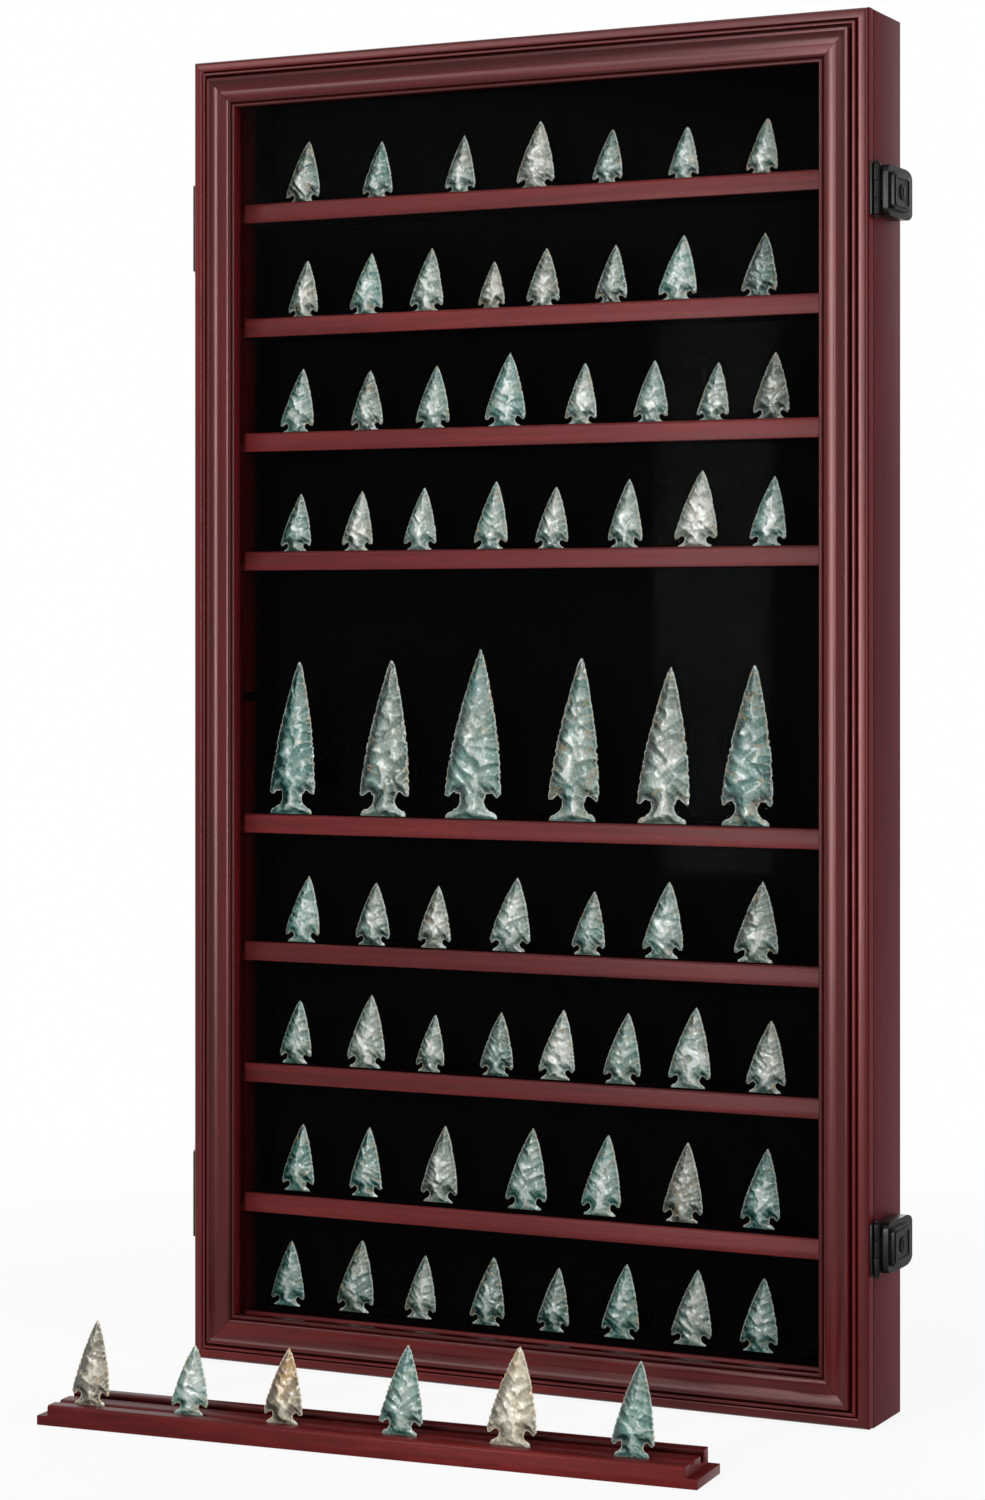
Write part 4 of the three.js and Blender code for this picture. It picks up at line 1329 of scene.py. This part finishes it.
    def _surface(self, points: Array, gaps: Array, triangles: Array, edge: Array, blank: Blank,
                 warm: float, chance: random.Random) -> tuple[Array, Array]:
        """Work out one face of a stone.

        Args:
            points: the face's points, across and up.
            gaps: how far each is from the outline.
            triangles: the face's triangles.
            edge: the outline.
            blank: the stone.
            warm: the share of hollows with amber flecks.
            chance: the stone's own random numbers.

        Returns:
            Each point's height off the stone's middle plane, and its "knap" colour with painted light, shade
            and highlights.
        """
        flakes = self._flakes(edge, blank, warm, chance)
        share = np.minimum(gaps / min(self.swell, 0.3 * blank.width), 1)
        up, height = points[:, 1], blank.height
        full = self.base_share + (1 - self.base_share) * np.clip(up / (0.3 * height), 0, 1)
        body = self.edge_half + (1 - (1 - share) ** 2) * (self.thickness / 2 * full - self.edge_half)
        heights = flakes.surfaces(points, body, np.minimum(gaps / self.fade, 1))
        order = np.argsort(heights, axis=1)
        lines = np.arange(len(points))
        lowest, following = heights[lines, order[:, 0]], heights[lines, order[:, 1]]
        thick = np.where(gaps > 0, np.maximum(lowest, 0.2 * MM), 0.0)
        solid = np.column_stack([points, thick])
        corners = solid[triangles]
        facets = np.cross(corners[:, 1] - corners[:, 0], corners[:, 2] - corners[:, 0])
        facets *= np.sign(facets[:, 2:3])
        normals = np.zeros_like(solid)
        for corner in range(3):
            np.add.at(normals, triangles[:, corner], facets)
        normals /= np.maximum(np.linalg.norm(normals, axis=1, keepdims=True), 1e-12)
        # Painted light and shade: how far each place faces a light from the upper right.
        lit = normals[:, 0] * self.light[0] + normals[:, 1] * self.light[1]
        won = np.minimum(order[:, 0], len(flakes.rows) - 1)
        shade = flakes.measure(Flakes.SHADE)[won]
        first = flakes.measure(Flakes.START)[won]
        wave = 0.5 + 0.5 * np.sin(np.linalg.norm(points - first, axis=1) / self.ripple * math.tau)
        ridge = 1 - np.minimum((following - lowest) / self.arris, 1)
        rim_highlight = np.maximum(0, 1 - gaps / self.rim_highlight)
        # Red: tone with painted light and shade, lighter towards the middle and the base; green: painted
        # highlights on arrises that face the light and on the rim.
        colours = np.column_stack([
            np.clip(blank.tone + (shade - 0.4) * 0.55 + np.maximum(lit, -0.32) * self.contrast
                    + (share - 0.6) * 0.5 + np.clip(1 - up / (0.1 * height), 0, 1) * self.base_light, 0, 1),
            np.clip(np.maximum(ridge * np.clip(0.35 + 2.2 * lit, 0, 1), rim_highlight), 0, 1),
            flakes.measure(Flakes.WARM)[won], wave])
        return thick, colours


@dataclass(frozen=True)
class Row:
    """A row of small points: how wide they are for their height, how far back they stand on the shelf, and
    each point's place across and height, in mm, how light it is, and how olive."""

    width_share: float
    depth_share: float
    points: tuple[tuple[float, float, float, float], ...]


ROWS: dict[int, Row] = {
    10: Row(0.575, 0.3, (
        (-147, 38.3, 0.3, 0.6), (-98, 35.2, 0.44, 0.4), (-44.6, 34.9, 0.46, 0.5),
        (3.1, 40.5, 0.58, 1.1), (47.7, 33.2, 0.36, 0.3), (93.8, 31.8, 0.56, 0.4),
        (140.5, 33.6, 0.5, 0.3))),
    9: Row(0.58, 0.3, (
        (-147, 35.5, 0.5, 0.7), (-105.2, 37.7, 0.5, 0.0), (-66, 38.8, 0.52, 0.6),
        (-24.7, 29.3, 0.54, 1.0), (7.6, 35.2, 0.48, 0.7), (49.9, 34.9, 0.38, 0.6),
        (90.3, 38.3, 0.6, 0.1), (138.9, 37.1, 0.2, 0.3))),
    8: Row(0.565, 0.3, (
        (-151, 39.4, 0.56, 0.3), (-105, 37.2, 0.42, 0.6), (-62.2, 38.4, 0.52, 0.4),
        (-15.9, 43.7, 0.5, -0.9), (31.2, 36.7, 0.62, 0.7), (74, 36.5, 0.56, 0.5),
        (111.3, 34.3, 0.48, 0.4), (145.8, 38.9, 0.26, 0.9))),
    7: Row(0.55, 0.3, (
        (-151.8, 35.8, 0.4, 0.5), (-111.2, 36.6, 0.6, 0.7), (-70.2, 38, 0.56, 0.4),
        (-25, 40.7, 0.54, 0.1), (13.2, 37, 0.5, 0.6), (58.4, 40.5, 0.52, 0.4), (101.3, 44.6, 0.66, 0.8),
        (144, 40.4, 0.56, 0.1))),
    4: Row(0.57, 0.3, (
        (-147.3, 40.4, 0.56, -0.1), (-101.3, 38, 0.4, 0.5), (-61.1, 37.6, 0.54, 0.8),
        (-12.7, 43.8, 0.56, 0.6), (36, 37.4, 0.38, 0.3), (81.4, 44.5, 0.52, 0.4),
        (137.1, 46.2, 0.42, 0.7))),
    3: Row(0.545, 0.3, (
        (-152.1, 39, 0.44, 0.3), (-105.3, 44.2, 0.56, 0.6), (-63.7, 34.6, 0.52, 0.6),
        (-21.4, 38, 0.34, 0.4), (16.5, 41.4, 0.66, 0.7), (56.6, 41.5, 0.42, 0.3),
        (97.4, 46.8, 0.56, 0.3), (142.7, 41.6, 0.52, 0.8))),
    2: Row(0.515, 0.46, (
        (-153.7, 41.8, 0.4, -0.2), (-108.9, 42.4, 0.44, -0.3), (-60.8, 46.4, 0.46, 0.8),
        (-5.4, 48.6, 0.46, 0.1), (41.3, 47.8, 0.56, 0.0), (90.9, 46.6, 0.42, 0.9),
        (137.2, 46.4, 0.38, -0.5))),
    1: Row(0.535, 0.64, (
        (-164.3, 40.6, 0.46, 0.1), (-118.9, 44.8, 0.46, 0.4), (-76.5, 39, 0.54, 0.6),
        (-33.2, 41.6, 0.36, 0.3), (8.3, 38.6, 0.38, 0.3), (50.2, 44.2, 0.42, -0.3),
        (93.4, 44.3, 0.54, 0.6), (133.8, 43.3, 0.42, -0.6)))}


@dataclass
class Shelves:
    """The shelves and all the points on them."""

    copy: CadCopy = CadCopy(0.4 * MM)
    loose_copy: CadCopy = LooseShelf(0.4 * MM)
    small: Knapper = Knapper()
    spear: Knapper = Knapper(SPEAR_SHARES, 0.065, spacing=0.85 * MM, thickness=8.0 * MM, swell=8.0 * MM,
                             fade=1.6 * MM, pitch=5.2 * MM, depth=1.5 * MM, scallop=1.2 * MM,
                             rim_highlight=0.55 * MM, arris=0.2 * MM)
    single: Knapper = Knapper(pitch=3.8 * MM, depth=1.1 * MM, thickness=6.4 * MM, swell=7.0 * MM)
    seat_depth: float = 1.3 * MM
    back_rise: float = 2.0 * MM
    arris_angle: float = math.radians(30)
    drawn_up: float = 1.028
    spears: tuple[Point2, ...] = (
        (0.3, 0.0), (0.34, 0.55), (0.44, 0.25), (0.42, 0.3), (0.46, 0.6), (0.34, 0.1))
    loose: tuple[tuple[bool, float, float, float], ...] = (
        (True, 0.34, -0.4, 0.6), (False, 0.62, 0.3, 0.0), (True, 0.42, 0.5, 2.4), (False, 0.44, 0.1, 0.0),
        (True, 0.6, 0.1, 0.8), (False, 0.36, 0.1, 0.0))

    def build(self) -> None:
        """Dress every shelf and set the points on it."""
        for number in (1, 2, 3, 4, 5, 7, 8, 9, 10):
            self.copy.dress(f"shelf_{number}", f"shelf_{number}", Finish.SHELF)
            if number in ROWS:
                self._row(number)
        self.loose_copy.dress("loose_shelf", "loose_shelf", Finish.LOOSE_SHELF)
        for number, (tone, earth) in enumerate(self.spears, 1):
            self._single(f"spear_point_{number}", "shelf_5", self.spear, 40 + number, Finish.STONE,
                         tone, earth)
        for number, (amber, tone, earth, rise) in enumerate(self.loose, 1):
            self._single(f"loose_point_{number}", "loose_shelf", self.single, 60 + number,
                         Finish.AMBER_STONE if amber else Finish.STONE, tone, earth, rise)

    def _row(self, number: int) -> None:
        """Set a row of small points on a shelf, as one piece.

        Args:
            number: the shelf's number.
        """
        row = ROWS[number]
        low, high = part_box(f"shelf_{number}")
        seat = high.z - self.back_rise - self.seat_depth
        depth = low.y + row.depth_share * (high.y - low.y)
        mesh = self._empty()
        chance = random.Random(1000 + number)
        for across, height, tone, earth in row.points:
            width = height * row.width_share * chance.uniform(0.95, 1.05)
            blank = Blank(width * MM, height * MM, tone, earth, sway=chance.uniform(-0.03, 0.03))
            self.small.add(mesh, blank, Matrix.Translation((across * MM, depth, seat)), chance)
        piece = Piece(f"shelf_{number}_points", f"shelf_{number}", Finish.STONE, (), self.arris_angle)
        piece.place(mesh)

    @staticmethod
    def _empty() -> Mesh:
        """Return an empty mesh with the layers that the stone's finish reads."""
        mesh = bmesh.new()
        mesh.verts.layers.float_color.new("knap")
        mesh.verts.layers.float.new("earth")
        return mesh

    def _single(self, node: str, body: str, knapper: Knapper, seed: int, finish: Finish, tone: float,
                earth: float, rise: float = 0.0) -> None:
        """Replace one CAD point with a flaked one of its own size.

        Args:
            node: the CAD point.
            body: the body that it rides on.
            knapper: the maker.
            seed: where its random numbers start.
            finish: its stone.
            tone: how light it is.
            earth: how far its hue is from teal to olive.
            rise: how much more olive or amber the tip is than the base.
        """
        low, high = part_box(node)
        turn = LOOSE_TURN if body == "loose_shelf" else 0.0
        blank = Blank((high.x - low.x) / math.cos(turn), (high.z - low.z) * self.drawn_up, tone, earth, rise)
        middle = (low + high) / 2
        place = Matrix.Translation((middle.x, middle.y, low.z)) @ Matrix.Rotation(turn, 4, "Z")
        mesh = self._empty()
        knapper.add(mesh, blank, place, random.Random(seed))
        Piece(f"{node}_flaked", body, finish, (node,), self.arris_angle).place(mesh)


@dataclass(frozen=True)
class Lamp:
    """A soft box lamp: where it hangs, what it points at, its width and height, and its power in watts."""

    name: str
    spot: Point3
    aim: Point3
    size: Point2
    power: float

    def hang(self) -> None:
        """Put the lamp in the scene."""
        data = bpy.data.lights.new(self.name, "AREA")
        data.shape = "RECTANGLE"
        data.size, data.size_y = self.size
        data.energy = self.power
        lamp = bpy.data.objects.new(self.name, data)
        lamp.location = self.spot
        lamp.rotation_euler = (Vector(self.aim) - Vector(self.spot)).to_track_quat("-Z", "Y").to_euler()
        bpy.context.scene.collection.objects.link(lamp)


@dataclass
class Studio:
    """Floor, backdrop, soft lamps and the camera of the photograph."""

    floor_half: float = 7.0
    floor_drop: float = 0.6 * MM
    shadow_reach: float = 0.35
    shadow_fade: float = 0.7
    glow_near: float = 0.9
    floor_colour: Colour = (0.9, 0.9, 0.9)
    sky_colour: Colour = (0.9, 0.93, 1.0)
    sky_power: float = 0.2
    lens: float = 81.6
    shift: float = -0.08
    spot: Point3 = (0.8188, -1.75425, 0.4287)
    azimuth: float = math.radians(25.793)
    lamps: tuple[Lamp, ...] = (
        Lamp("lamp_strip", (-0.36, -2.17, 0.6), (0, 0, 0.5), (0.35, 1.2), 26),
        Lamp("lamp_front", (-1.0, -1.8, 1.4), (0, 0, 0.4), (2.0, 0.3), 11),
        Lamp("lamp_right", (2.3, -1.0, 0.9), (0, 0, 0.4), (1.4, 1.8), 24),
        Lamp("lamp_top", (0.0, -0.3, 3.0), (0, 0, 0.3), (2.0, 2.0), 16),
        Lamp("lamp_back", (-0.4, 2.8, 1.5), (0, 0, 0.4), (2.0, 1.4), 30))

    def build(self) -> None:
        """Make the stage."""
        self._camera()
        self._world()
        self._floor()
        for lamp in self.lamps:
            lamp.hang()
        bpy.context.scene.view_settings.view_transform = "Standard"

    def _camera(self) -> None:
        """Set the camera where the photograph was taken from."""
        data = bpy.data.cameras.new("photo_camera")
        data.sensor_width = 36
        data.lens = self.lens
        data.sensor_fit = "AUTO"
        data.shift_y = self.shift
        data.clip_end = 100
        camera = bpy.data.objects.new("photo_camera", data)
        camera.location = self.spot
        camera.rotation_euler = (math.pi / 2, 0, self.azimuth)
        bpy.context.scene.collection.objects.link(camera)
        bpy.context.scene.camera = camera

    def _world(self) -> None:
        """Give the world a soft grey light, and white where the camera, metal or glass sees it."""
        graph = Graph("studio", world=True)
        light = graph.node("ShaderNodeBackground", {}, {
            "Color": self.sky_colour, "Strength": self.sky_power})
        white = graph.node("ShaderNodeBackground", {}, {"Color": WHITE, "Strength": 1.0})
        bpy.context.scene.world = graph.blended(graph.seen(), light, white)

    def _floor(self) -> None:
        """Lay a large pale floor that keeps the shadow."""
        half = self.floor_half
        mesh = bmesh.new()
        mesh.faces.new(loop(mesh, ((across * half, along * half, -self.floor_drop)
                                   for across, along in ((-1, -1), (1, -1), (1, 1), (-1, 1)))))
        data = bpy.data.meshes.new("floor")
        mesh.to_mesh(data)
        mesh.free()
        graph = Graph("floor_white")
        matt = graph.node("ShaderNodeBsdfDiffuse", {}, {"Color": self.floor_colour})
        glow = graph.node("ShaderNodeEmission", {}, {"Color": WHITE, "Strength": 1.0})
        apart = graph.value("ShaderNodeVectorMath", {"operation": "LENGTH"}, {0: graph.place()}, "Value")
        faded = apart.above(self.shadow_reach, self.shadow_reach + self.shadow_fade)
        share = self.glow_near + faded * (1 - self.glow_near)
        data.materials.append(graph.blended(graph.seen() * share, matt, glow))
        floor = bpy.data.objects.new("floor", data)
        bpy.context.scene.collection.objects.link(floor)


def main() -> None:
    """Build the whole scene, piece by piece."""
    logging.basicConfig(level=logging.INFO, format="%(name)s %(message)s")
    for part in (Studio(), Case(), Moulding(), Hinges(), KeyHasps(), Shelves()):
        log.info("building %s", type(part).__name__)
        part.build()


if __name__ == "__main__":
    main()
